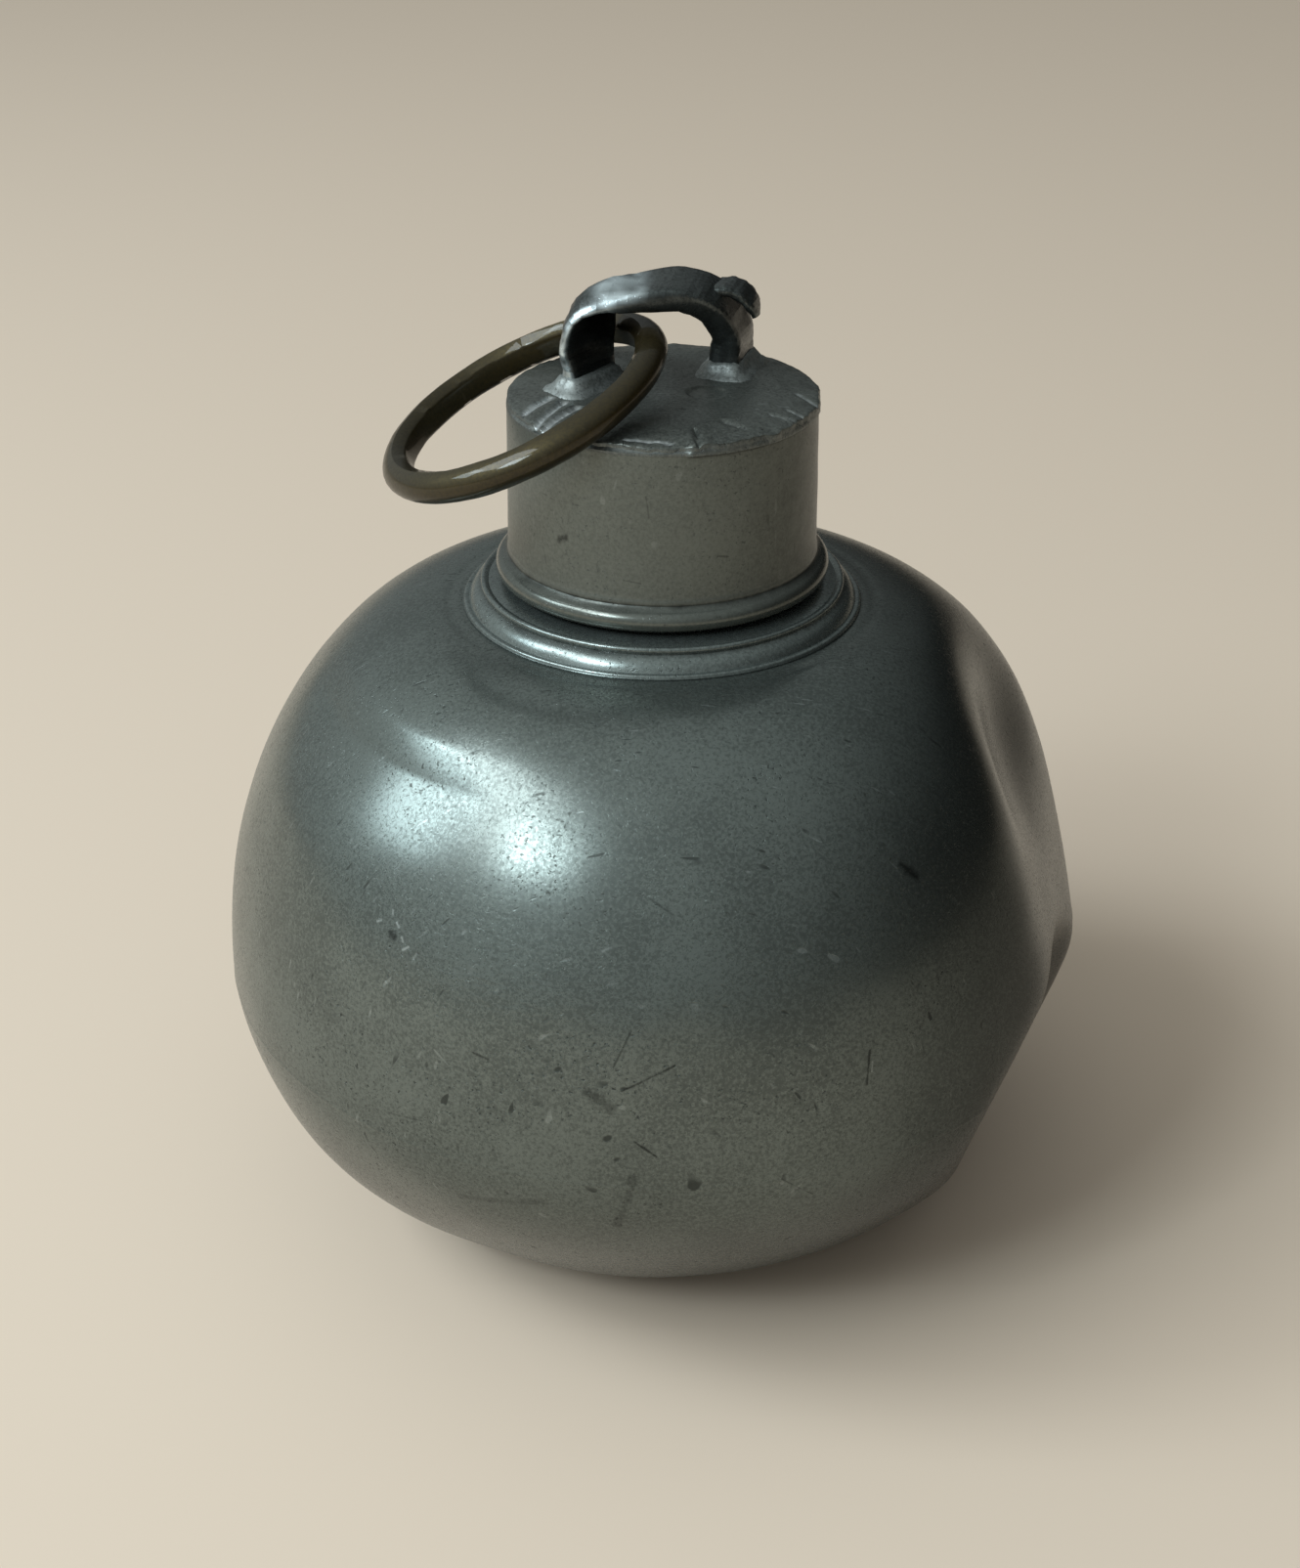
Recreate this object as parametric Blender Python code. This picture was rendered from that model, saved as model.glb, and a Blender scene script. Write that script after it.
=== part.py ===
"""Pewter flask with a screw cap, a soldered cap loop and a brass carrying ring.

Metres, +Z up. The origin is the centre of the flat base, the flask axis is Z and the front is -Y.
"""
import bpy
import bmesh
from math import atan2, cos, exp, hypot, log, pi, radians, sin
from mathutils import Vector

MM = 0.001

# Sizes in millimetres
GAP = 0.3                # clearance left between neighbouring pieces
WALL = 2.0               # thickness of the cast walls
BASE_R = 28.4            # flat base
BELLY_R = 57.9           # widest girth
BELLY_Z = 37.2
SEAM_Z = 36.4            # soldered joint between the two halves
SEAM_H = 0.8
SHOULDER_R = 25.7        # flat seat for the collar
SHOULDER_Z = 85.4
HOLE_R = 18.9            # opening in the shoulder

COLLAR_R = 25.2          # moulded collar under the cap
COLLAR_EDGE = 0.6
COLLAR_RIM_R = 22.8
COLLAR_TOP = 88.6
NECK_R = 16.0            # threaded neck, crest radius
NECK_BORE = 13.5
NECK_TOP = 106.0
NECK_FOOT = 81.0

THREAD_PLAY = 0.4        # cap bore over the neck's crests, and cap foot over the collar
CAP_WALL = 2.6           # turned wall of the cap at its upper end
CAP_TAPER = 0.3          # extra radius at the lower end of the cap
BEAD_OUT = 1.9           # how far the bead at the cap's foot stands out
BEAD_H = 3.1
PLATE_LIP = 0.1          # how far the plate stands out over the cap wall
PLATE_T = 1.4
PLATE_FLAT_R = 14.0
PLATE_RISE = 0.6
PLATE_WEAR = 0.9         # worn edge of the plate
SEAL_T = 4.3

STRAP_FOOT_H = 2.2       # upright part of each loop foot
SOLDER_H = 1.5
SOLDER_FLARE = 1.7

RING_R = 17.2            # middle of the ring's bar
BAR_HALF_T = 1.75
BAR_HALF_W = 2.2
PIVOT_X = -1.5           # where the ring hangs in the strap
PIVOT_Y = -0.3
PIVOT_DROP = 5.3         # fall of the swing axis below the top of the arch
RING_TURN = 10.0         # plan angle of the swing axis from +Y, positive towards -X

# Each dent: plan angle, height, depth of the cut, throw of the metal, softness, pitch and bend of the cut.
# A throw below zero pushes the metal out instead, as in the bulge at the foot.
DENTS = (
    (-24.0, 30.0, 4.4, 1.9, 0.6, 2.0, 0.0),
    (-10.0, 56.0, 4.8, 1.0, 0.9, 0.0, 0.0),
    (-17.0, 68.0, 1.7, 2.2, 1.5, 0.0, 0.0),
    (-146.0, 14.0, 2.7, -0.58, 0.9, 0.0, 0.0),
    (-136.0, 78.6, 0.7, 2.4, 0.3, -2.0, 0.0075),
)
DENT_REACH = 25.0        # how far behind its middle a cut can still touch the wall
DENT_FOOT = 7.0          # height over the base that a dent takes to come in
DENT_BROW = 3.0          # and height below the shoulder's edge that it takes to run out
DENT_CLEAR = 0.5         # round strip left at either end of the wall

# Hand-bent strap of the loop: middle point, turn of its width, width and thickness
STRAP = (
    (-9.0, 1.0, 36.0, 8.2, 3.2),
    (-9.2, 1.0, 39.0, 8.8, 2.6),
    (-7.5, 1.2, 29.0, 9.0, 2.4),
    (0.2, 2.4, 12.0, 9.2, 2.7),
    (5.4, 4.2, 13.0, 8.6, 2.9),
    (8.4, 6.6, 17.0, 7.8, 3.3),
    (8.5, 7.3, 18.0, 7.7, 3.8),
)
STRAP_HEIGHTS = (0.0, 0.33, 0.82, 1.0, 0.82, 0.33, 0.0)
STRAP_RISE = 11.0        # height of the arch over the strap's feet
STRAP_DIP = 5.0          # fall of the strap's front edge at the top of the arch

BODY_SEGMENTS = 68
TURNED_SEGMENTS = 40
RING_SEGMENTS = 48

# Sizes that follow from those above: the cap from the neck, and the loop and the ring from the cap
CAP_BORE = NECK_R + THREAD_PLAY
CAP_R = CAP_BORE + CAP_WALL
BEAD_R = CAP_R + BEAD_OUT
CAP_FOOT = COLLAR_TOP + THREAD_PLAY
PLATE_R = CAP_R + PLATE_LIP
PLATE_RIM_R = PLATE_R - 1.3 * PLATE_WEAR
PLATE_UNDER = NECK_TOP + GAP + SEAL_T + GAP
CAP_EDGE_Z = PLATE_UNDER + PLATE_T
PLATE_TOP = CAP_EDGE_Z + PLATE_RISE
FOOT_Z = PLATE_TOP + GAP
STRAP_TOP = FOOT_Z + STRAP_RISE
RING_PIVOT = (PIVOT_X, PIVOT_Y, STRAP_TOP - PIVOT_DROP)


def clear_scene():
    for item in list(bpy.data.objects):
        bpy.data.objects.remove(item, do_unlink=True)


def make_material(name, colour, metallic, roughness):
    mat = bpy.data.materials.new(name)
    mat.use_nodes = True
    shader = mat.node_tree.nodes["Principled BSDF"]
    shader.inputs["Base Color"].default_value = (*colour, 1.0)
    shader.inputs["Metallic"].default_value = metallic
    shader.inputs["Roughness"].default_value = roughness
    return mat


def make_object(name, bm, mat, origin=(0.0, 0.0, 0.0)):
    bmesh.ops.recalc_face_normals(bm, faces=bm.faces)
    bmesh.ops.translate(bm, verts=bm.verts, vec=-Vector(origin))
    bmesh.ops.scale(bm, verts=bm.verts, vec=(MM, MM, MM))
    mesh = bpy.data.meshes.new(name)
    bm.to_mesh(mesh)
    bm.free()
    obj = bpy.data.objects.new(name, mesh)
    obj.location = Vector(origin) * MM
    obj.data.materials.append(mat)
    bpy.context.scene.collection.objects.link(obj)
    return obj


def bezier(p, t):
    s = 1.0 - t
    w = (s * s * s, 3.0 * s * s * t, 3.0 * s * t * t, t * t * t)
    return tuple(sum(w[i] * p[i][k] for i in range(4)) for k in range(2))


def shoulder_curve():
    run = BELLY_R - SHOULDER_R
    rise = SHOULDER_Z - BELLY_Z
    return ((BELLY_R, BELLY_Z), (BELLY_R, BELLY_Z + 0.45 * rise),
            (SHOULDER_R + 0.61 * run, SHOULDER_Z), (SHOULDER_R, SHOULDER_Z))


def bowl_curve():
    slope = radians(23.0)
    reach = 10.0
    return ((BASE_R, 0.0), (BASE_R + reach * cos(slope), reach * sin(slope)),
            (BELLY_R, 0.6 * BELLY_Z), (BELLY_R, BELLY_Z))


def curve_station(curve, t):
    """Point of the outer wall and its outward normal, both as (r, z)."""
    step = 0.0005
    a = bezier(curve, max(0.0, t - step))
    b = bezier(curve, min(1.0, t + step))
    length = hypot(b[0] - a[0], b[1] - a[1])
    return bezier(curve, t), ((b[1] - a[1]) / length, (a[0] - b[0]) / length)


def curve_at_height(curve, height):
    low, high = 0.0, 1.0
    for _ in range(50):
        mid = 0.5 * (low + high)
        if bezier(curve, mid)[1] < height:
            low = mid
        else:
            high = mid
    return low


def smoothstep(low, high, value):
    x = min(1.0, max(0.0, (value - low) / (high - low)))
    return x * x * (3.0 - 2.0 * x)


def wall_at_height(height):
    curve = bowl_curve() if height < BELLY_Z else shoulder_curve()
    return curve_station(curve, curve_at_height(curve, height))


def dent_cuts():
    """The sheet that cuts each dent: its middle, normal, sideways direction, depth, throw, softness and bend."""
    cuts = []
    for angle, height, depth, throw, soft, pitch, bend in DENTS:
        (r, z), (nr, nz) = wall_at_height(height)
        a = radians(angle)
        tilt = atan2(nz, nr) + radians(pitch)
        middle = Vector((r * cos(a), r * sin(a), z))
        normal = Vector((cos(a) * cos(tilt), sin(a) * cos(tilt), sin(tilt)))
        sideways = Vector((-sin(a), cos(a), 0.0))
        cuts.append((middle, normal, sideways, depth, throw, soft, bend))
    return cuts


DENT_CUTS = dent_cuts()


def dent_shift(point):
    """Shift of a wall point: metal beyond each dent's cut is thrown back across it."""
    shift = Vector((0.0, 0.0, 0.0))
    for middle, normal, sideways, depth, throw, soft, bend in DENT_CUTS:
        offset = point - middle
        if normal.dot(offset) < -DENT_REACH:
            continue
        over = (normal.dot(offset) + depth + bend * sideways.dot(offset) ** 2) / soft
        if over > -20.0:
            pressed = soft * (over if over > 30.0 else log(1.0 + exp(over)))
            shift -= normal * (throw * pressed)
    come_in = smoothstep(DENT_CLEAR, DENT_FOOT, point.z)
    run_out = smoothstep(SHOULDER_Z - DENT_BROW, SHOULDER_Z - DENT_CLEAR, point.z)
    return shift * (come_in * (1.0 - run_out))


def turned(name, profile, segments, mat, shifts=None):
    """Closed solid turned about Z from a closed (r, z) outline, with an optional shift per point."""
    bm = bmesh.new()
    columns = []
    for j in range(segments):
        a = 2.0 * pi * j / segments
        column = []
        for i, (r, z) in enumerate(profile):
            if r < 1e-6 and j:
                column.append(columns[0][i])
                continue
            p = Vector((r * cos(a), r * sin(a), z))
            if shifts and shifts[i]:
                q, _ = shifts[i]
                p += dent_shift(Vector((q[0] * cos(a), q[0] * sin(a), q[1])))
            column.append(bm.verts.new(p))
        columns.append(column)
    count = len(profile)
    for j in range(segments):
        here, there = columns[j], columns[(j + 1) % segments]
        for i in range(count):
            k = (i + 1) % count
            corners = []
            for v in (here[i], there[i], there[k], here[k]):
                if v not in corners:
                    corners.append(v)
            if len(corners) > 2:
                bm.faces.new(corners)
    return make_object(name, bm, mat)


def shell_outline(stations):
    """Outer wall upwards and inner wall back, each point with the station that bends it."""
    outer = [(p, (p, n)) for p, n in stations]
    inner = [((p[0] - WALL * n[0], p[1] - WALL * n[1]), (p, n)) for p, n in reversed(stations)]
    return outer, inner


def make_lower_bowl(mat):
    top = SEAM_Z - 0.5 * SEAM_H - GAP
    curve = bowl_curve()
    last = curve_at_height(curve, top)
    stations = [curve_station(curve, last * i / 11) for i in range(12)]
    outer, inner = shell_outline(stations)
    rows = [((0.0, 0.0), None)] + outer + inner + [((0.0, inner[-1][0][1]), None)]
    return turned("lower_bowl", [r[0] for r in rows], BODY_SEGMENTS, mat, [r[1] for r in rows])


def make_upper_shell(mat):
    low = SEAM_Z + 0.5 * SEAM_H + GAP
    below = bowl_curve()
    above = shoulder_curve()
    stations = [curve_station(below, curve_at_height(below, low))]
    stations += [curve_station(above, i / 14) for i in range(15)]
    stations[-1] = ((SHOULDER_R, SHOULDER_Z), (0.0, 1.0))
    stations.append(((HOLE_R, SHOULDER_Z), (0.0, 1.0)))
    outer, inner = shell_outline(stations)
    rows = outer + inner
    return turned("upper_shell", [r[0] for r in rows], BODY_SEGMENTS, mat, [r[1] for r in rows])


def make_belly_solder(mat):
    curve = bowl_curve()
    heights = (SEAM_Z - 0.5 * SEAM_H, SEAM_Z + 0.5 * SEAM_H)
    outer, inner = shell_outline([curve_station(curve, curve_at_height(curve, h)) for h in heights])
    rows = outer + inner
    return turned("belly_solder", [r[0] for r in rows], BODY_SEGMENTS, mat, [r[1] for r in rows])


def make_screw_neck(mat):
    seat = SHOULDER_Z + GAP
    outline = [(NECK_BORE, NECK_FOOT), (HOLE_R - GAP, NECK_FOOT), (HOLE_R - GAP, seat), (COLLAR_R, seat),
               (COLLAR_R, seat + COLLAR_EDGE)]
    cove_r = COLLAR_R - COLLAR_RIM_R
    cove_h = COLLAR_TOP - COLLAR_EDGE - (seat + COLLAR_EDGE)
    for i in range(1, 5):
        a = 0.5 * pi * i / 4
        outline.append((COLLAR_R - cove_r * sin(a), seat + COLLAR_EDGE + cove_h * (1.0 - cos(a))))
    outline += [(COLLAR_RIM_R, COLLAR_TOP), (NECK_R, COLLAR_TOP), (NECK_R, NECK_TOP - 0.6),
                (NECK_R - 0.6, NECK_TOP), (NECK_BORE, NECK_TOP)]
    return turned("screw_neck", outline, TURNED_SEGMENTS, mat)


def make_seal_washer(mat):
    top = PLATE_UNDER - GAP
    radius = CAP_BORE - GAP
    outline = [(0.0, top - SEAL_T), (radius, top - SEAL_T), (radius, top), (0.0, top)]
    return turned("seal_washer", outline, TURNED_SEGMENTS, mat)


def make_cap_wall(mat):
    top = PLATE_UNDER - GAP
    low_r = CAP_R + CAP_TAPER
    outline = [(CAP_BORE, CAP_FOOT), (low_r, CAP_FOOT)]
    for i in range(1, 6):
        a = pi * i / 6
        outline.append((low_r + (BEAD_R - low_r) * sin(a), CAP_FOOT + 0.5 * BEAD_H * (1.0 - cos(a))))
    outline += [(low_r, CAP_FOOT + BEAD_H), (CAP_R, top), (CAP_BORE, top)]
    return turned("cap_wall", outline, TURNED_SEGMENTS, mat)


def make_cap_top(mat):
    outline = [(0.0, PLATE_UNDER), (PLATE_R, PLATE_UNDER), (PLATE_R, CAP_EDGE_Z - PLATE_WEAR),
               (PLATE_RIM_R, CAP_EDGE_Z), (PLATE_FLAT_R, PLATE_TOP), (0.0, PLATE_TOP)]
    return turned("cap_top", outline, TURNED_SEGMENTS, mat)


def catmull(p0, p1, p2, p3, t):
    return tuple(0.5 * (2.0 * b + (c - a) * t + (2.0 * a - 5.0 * b + 4.0 * c - d) * t * t
                        + (3.0 * b - a - 3.0 * c + d) * t * t * t)
                 for a, b, c, d in zip(p0, p1, p2, p3))


def strap_stations():
    """Rows of (x, y, z, turn, width, thickness) from the left foot over the top to the right foot."""
    spring = FOOT_Z + STRAP_FOOT_H
    rows = []
    for (x, y, turn, width, thick), h in zip(STRAP, STRAP_HEIGHTS):
        rows.append((x, y, spring + h * (STRAP_TOP - spring), turn, width, thick))
    first = (*rows[0][:2], FOOT_Z, *rows[0][3:])
    last = (*rows[-1][:2], FOOT_Z, *rows[-1][3:])
    padded = [first] + rows + [last]
    stations = [first]
    for i in range(1, len(rows)):
        for k in range(4):
            stations.append(catmull(*padded[i - 1:i + 3], k / 4))
    return stations + [rows[-1], last]


def strap_section(stations, i, grow=0.0):
    """Ring of points round the strap at one station, with chamfered corners."""
    x, y, z, turn, width, thick = stations[i]
    dip = radians(STRAP_DIP) * smoothstep(FOOT_Z + STRAP_FOOT_H, STRAP_TOP, z)
    across = Vector((-sin(radians(turn)) * cos(dip), -cos(radians(turn)) * cos(dip), -sin(dip)))
    upright = i < 2 or i > len(stations) - 3
    before = stations[max(i - 1, 0)]
    after = stations[min(i + 1, len(stations) - 1)]
    along = Vector((after[k] - before[k] for k in range(3))).normalized()
    if upright:
        along = Vector((0.0, 0.0, 1.0))
    out = along.cross(across).normalized()
    hw = 0.5 * width + grow
    ht = 0.5 * thick + grow
    cut = 0.7 + 0.5 * grow
    corners = ((hw, ht - cut), (hw - cut, ht), (-hw + cut, ht), (-hw, ht - cut),
               (-hw, -ht + cut), (-hw + cut, -ht), (hw - cut, -ht), (hw, -ht + cut))
    return [Vector((x, y, z)) + across * a + out * b for a, b in corners]


def skin(bm, rings, closed):
    loops = [[bm.verts.new(p) for p in ring] for ring in rings]
    count = len(loops[0])
    pairs = len(loops) if closed else len(loops) - 1
    for i in range(pairs):
        here, there = loops[i], loops[(i + 1) % len(loops)]
        for k in range(count):
            m = (k + 1) % count
            bm.faces.new((here[k], here[m], there[m], there[k]))
    if not closed:
        bm.faces.new(loops[0])
        bm.faces.new(loops[-1])


def make_cap_loop(mat):
    stations = strap_stations()
    bm = bmesh.new()
    skin(bm, [strap_section(stations, i) for i in range(len(stations))], closed=False)
    return make_object("cap_loop", bm, mat)


def make_foot_solder(name, mat, at_left):
    """Fillet of solder round one foot, a skirt that hugs the strap and thins upwards."""
    stations = strap_stations()
    index = 0 if at_left else len(stations) - 1
    lift = Vector((0.0, 0.0, SOLDER_H))
    rings = [strap_section(stations, index, GAP),
             strap_section(stations, index, GAP + SOLDER_FLARE),
             [p + 0.45 * lift for p in strap_section(stations, index, GAP + 0.45 * SOLDER_FLARE)],
             [p + lift for p in strap_section(stations, index, GAP + 0.3)],
             [p + lift for p in strap_section(stations, index, GAP)]]
    bm = bmesh.new()
    skin(bm, rings, closed=True)
    return make_object(name, bm, mat)


def bar_section():
    """Outline of the ring's bar as (radial, axial): flat inside, round outside."""
    points = [(-BAR_HALF_T, -0.75 * BAR_HALF_W), (-BAR_HALF_T, 0.75 * BAR_HALF_W)]
    for i in range(1, 8):
        a = pi * i / 8
        points.append((-BAR_HALF_T * 0.55 + 1.55 * BAR_HALF_T * sin(a), BAR_HALF_W * cos(a)))
    return points


def ring_sections(slope):
    """Points round the ring's bar, section by section, with the ring hanging at a slope to the left."""
    turn = radians(RING_TURN)
    axis = Vector((-sin(turn), cos(turn), 0.0))
    level = Vector((-cos(turn), -sin(turn), 0.0))
    downhill = level * cos(slope) - Vector((0.0, 0.0, sin(slope)))
    normal = axis.cross(downhill).normalized()
    centre = Vector(RING_PIVOT) + downhill * RING_R
    sections = []
    for i in range(RING_SEGMENTS):
        a = 2.0 * pi * i / RING_SEGMENTS
        spoke = downhill * cos(a) + axis * sin(a)
        sections.append([centre + spoke * (RING_R + u) + normal * v for u, v in bar_section()])
    return sections


def plate_height(radius):
    """Height of the plate's upper face at a distance from the flask's axis."""
    if radius < PLATE_FLAT_R:
        return PLATE_TOP
    if radius < PLATE_RIM_R:
        return PLATE_TOP - PLATE_RISE * (radius - PLATE_FLAT_R) / (PLATE_RIM_R - PLATE_FLAT_R)
    return CAP_EDGE_Z - PLATE_WEAR * (radius - PLATE_RIM_R) / (PLATE_R - PLATE_RIM_R)


def rest_slope():
    """Steepest slope at which the ring lies clear of the plate's edge."""
    low, high = 0.0, 0.25 * pi
    for _ in range(24):
        mid = 0.5 * (low + high)
        over_plate = [p for section in ring_sections(mid) for p in section if hypot(p.x, p.y) < PLATE_R + GAP]
        if min(p.z - plate_height(hypot(p.x, p.y)) for p in over_plate) > GAP:
            low = mid
        else:
            high = mid
    return low


def make_carry_ring(mat):
    bm = bmesh.new()
    skin(bm, ring_sections(rest_slope()), closed=True)
    return make_object("carry_ring", bm, mat, RING_PIVOT)


def build():
    clear_scene()
    pewter = (0.27, 0.29, 0.28)
    solder = (0.42, 0.43, 0.42)
    make_lower_bowl(make_material("pewter_bowl", pewter, 1.0, 0.42))
    make_upper_shell(make_material("pewter_shell", pewter, 1.0, 0.40))
    make_belly_solder(make_material("seam_solder", solder, 1.0, 0.45))
    make_screw_neck(make_material("pewter_neck", (0.30, 0.32, 0.31), 1.0, 0.36))
    make_seal_washer(make_material("cork", (0.45, 0.30, 0.17), 0.0, 0.85))
    make_cap_wall(make_material("pewter_cap", (0.34, 0.34, 0.32), 1.0, 0.42))
    make_cap_top(make_material("pewter_plate", (0.29, 0.30, 0.29), 1.0, 0.50))
    make_cap_loop(make_material("pewter_loop", (0.20, 0.22, 0.22), 1.0, 0.45))
    make_foot_solder("loop_solder_left", make_material("solder_left", solder, 1.0, 0.55), True)
    make_foot_solder("loop_solder_right", make_material("solder_right", solder, 1.0, 0.55), False)
    make_carry_ring(make_material("brass_ring", (0.38, 0.29, 0.14), 1.0, 0.35))


build()
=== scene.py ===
"""Looks of the dented pewter flask with its screw cap, soldered loop and brass carrying ring."""

from math import atan2, cos, degrees, exp, hypot, log, pi, radians, sin

import bmesh
import bpy
from mathutils import Matrix, Vector, noise


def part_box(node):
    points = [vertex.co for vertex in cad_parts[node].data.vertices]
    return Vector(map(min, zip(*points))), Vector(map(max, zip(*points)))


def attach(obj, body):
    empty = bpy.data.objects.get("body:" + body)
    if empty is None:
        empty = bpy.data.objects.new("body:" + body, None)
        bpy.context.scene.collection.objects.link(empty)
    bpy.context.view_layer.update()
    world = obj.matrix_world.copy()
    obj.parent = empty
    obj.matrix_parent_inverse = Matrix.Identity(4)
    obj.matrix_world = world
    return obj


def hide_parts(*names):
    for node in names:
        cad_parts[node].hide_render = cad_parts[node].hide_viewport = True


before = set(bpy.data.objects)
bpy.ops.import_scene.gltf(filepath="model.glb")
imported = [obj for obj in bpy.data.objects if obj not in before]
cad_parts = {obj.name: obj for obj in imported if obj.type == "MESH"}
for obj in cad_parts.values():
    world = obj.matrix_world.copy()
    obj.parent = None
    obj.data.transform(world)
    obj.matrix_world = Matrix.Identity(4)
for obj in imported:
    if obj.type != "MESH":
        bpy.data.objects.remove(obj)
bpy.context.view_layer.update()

MM = 0.001


def low(node):
    return Vector(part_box(node)[0]) / MM


def high(node):
    return Vector(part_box(node)[1]) / MM


# Sizes in millimetres, read from the frame where a solid gives them
BASE_R = 28.4
BELLY_R = 57.9
BELLY_Z = 37.2
WALL = 2.0
SEAM_LOW = low("lower_bowl").z + 36.0
SEAM_HIGH = SEAM_LOW + 0.8
SEAM_PROUD = 0.06  # how far the solder of the seam stands out
SHOULDER_R = 25.7
SHOULDER_Z = 85.4
HOLE_R = 18.9
TURNED_LINE_R = SHOULDER_R + 1.3  # turned line round the shoulder: radius, depth and half width
TURNED_LINE_DEPTH, TURNED_LINE_HALF = 0.16, 0.35

NECK_FOOT = low("screw_neck").z
NECK_TOP = high("screw_neck").z
NECK_CREST = 16.0
NECK_ROOT = 15.1
NECK_BORE = 13.5
COLLAR_R = high("screw_neck").x
COLLAR_TOP = 88.6
COLLAR_RIM_R = 22.8
COLLAR_SEAT = SHOULDER_Z + 0.02
# Foot and top of the collar's flank, as (r, z)
FLANK_FOOT = (COLLAR_R - 0.75, COLLAR_SEAT + 0.52)
FLANK_TOP = (COLLAR_RIM_R + 0.08, COLLAR_TOP - 0.95)

CAP_FOOT = low("cap_wall").z
CAP_TOP = high("cap_wall").z
CAP_R = 19.0
CAP_LOW_R = 19.3
BEAD_R = high("cap_wall").x
BEAD_H = 3.1
BEAD_ROUND = 1.35  # radius of the bead's rounding
BEAD_TOP = CAP_FOOT + BEAD_H
CAP_ROOT = 17.2
CAP_CREST = 16.45
THREAD_PITCH = 5.0
RIDGE_H = 1.8  # height of the thread's ridge at its root

PLATE_R = high("cap_top").x
PLATE_UNDER = low("cap_top").z
PLATE_TOP = high("cap_top").z
PLATE_EDGE_Z = PLATE_TOP - 0.6
PLATE_FLAT_R = 14.0
PLATE_SIDE_R = CAP_R + 0.03
WORN_FROM, WORN_TO = -168.0, -80.0  # plan angles between which the plate's front edge is filed down

RING_R = 17.2
RING_PIVOT = Vector((-1.5, -0.3, 118.9))
RING_TURN = radians(10.0)
RING_SLOPE = radians(25.51)
BAR_HALF_T = 1.75
BAR_HALF_W = 2.2

# Each dent: plan angle, height, depth of the cut, throw of the metal, softness and pitch of the cut.
# A throw below zero pushes the metal out, as in the bulge at the foot.
DENTS = (
    (-24.0, 30.0, 4.4, 1.9, 0.6, 2.0),
    (-10.0, 56.0, 4.8, 1.0, 0.9, 0.0),
    (-9.0, 72.0, 1.6, 2.0, 1.1, 0.0),
    (-146.0, 14.0, 2.7, -0.58, 0.9, 0.0),
)
DENT_REACH = 25.0  # how far behind its middle a cut can still touch the wall
DENT_CLEAR = 0.5  # height left round at either end of the wall
DENT_FOOT = 7.0  # height over the base that a dent takes to come in
DENT_BROW = 3.0  # and height below the shoulder's edge that it takes to run out

# The creased dent at the upper left: height of the crease, the plan angles where it starts, is full, fades
# and ends, how wide the step below it is, how far the hollow runs, its depth and the way it is pressed in
FOLD_Z = 80.0
FOLD_SPAN = (-176.0, -156.0, -132.0, -108.0)
FOLD_STEP = 4.6
FOLD_RUN = 19.0
FOLD_DEPTH = 0.95
FOLD_TILT = radians(50.0)

# Unevenness of the hand-finished wall: how fine, how high and where in the pattern, and where it fades
WOBBLE = ((0.045, 0.22, Vector()), (0.13, 0.07, Vector((7.0, 3.0, 1.0))))
WOBBLE_FOOT, WOBBLE_BROW = (0.5, 9.0), (74.0, 82.0)

# Painted shade of the body: the most there is, the share at the right with its x, and at the foot with its z
BODY_PAINTED_SHADE = 0.92
RIGHT_PAINTED_SHADE, RIGHT_FROM, RIGHT_TO = 0.88, 12.0, 50.0
FOOT_PAINTED_SHADE, FOOT_FROM, FOOT_TO = 0.48, 8.0, 46.0

# Hand-bent strap of the loop: middle point, turn of its width, width and thickness
STRAP = (
    (-9.0, 1.0, 36.0, 8.2, 3.2),
    (-9.2, 1.0, 39.0, 8.8, 2.6),
    (-7.5, 1.2, 29.0, 9.0, 2.4),
    (0.2, 2.4, 12.0, 9.2, 2.7),
    (5.4, 4.2, 13.0, 8.6, 2.9),
    (8.4, 6.6, 17.0, 7.8, 3.3),
    (8.5, 7.3, 18.0, 7.7, 3.8),
)
STRAP_HEIGHTS = (0.0, 0.33, 0.82, 1.0, 0.82, 0.33, 0.0)
STRAP_TOP = 124.2
STRAP_DIP = radians(5.0)
STRAP_FOOT_H = 2.2
STRAP_SUNK = 0.5  # how far the feet reach into the plate
FOOT_Z = low("cap_loop").z
LEAF_HOLLOW = 1.3  # depth of the hollow beaten into the left leg
LEAF_THIN = 0.62  # share of its thickness that the leaf loses at its edges
LEAF_SPREAD = 0.20  # share of its width that the leaf gains at the rear

# Curled end of the strap behind the right leg: middle, half width, half thickness
STRAP_END = (
    (5.0, 5.6, 122.9, 1.8, 0.55),
    (7.4, 6.2, 123.4, 2.6, 0.7),
    (9.4, 6.5, 122.9, 2.8, 0.7),
    (10.9, 6.4, 121.4, 2.5, 0.6),
    (11.5, 6.1, 119.8, 1.2, 0.35),
)
STRAP_END_ACROSS = Vector((0.25, 0.97, 0.0))

# Rings of a foot's solder from the plate upwards: reach round the strap and height
SOLDER_RINGS = ((2.0, -0.25), (1.75, 0.12), (1.2, 0.42), (0.75, 0.85), (0.42, 1.35), (0.1, 1.75))
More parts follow.
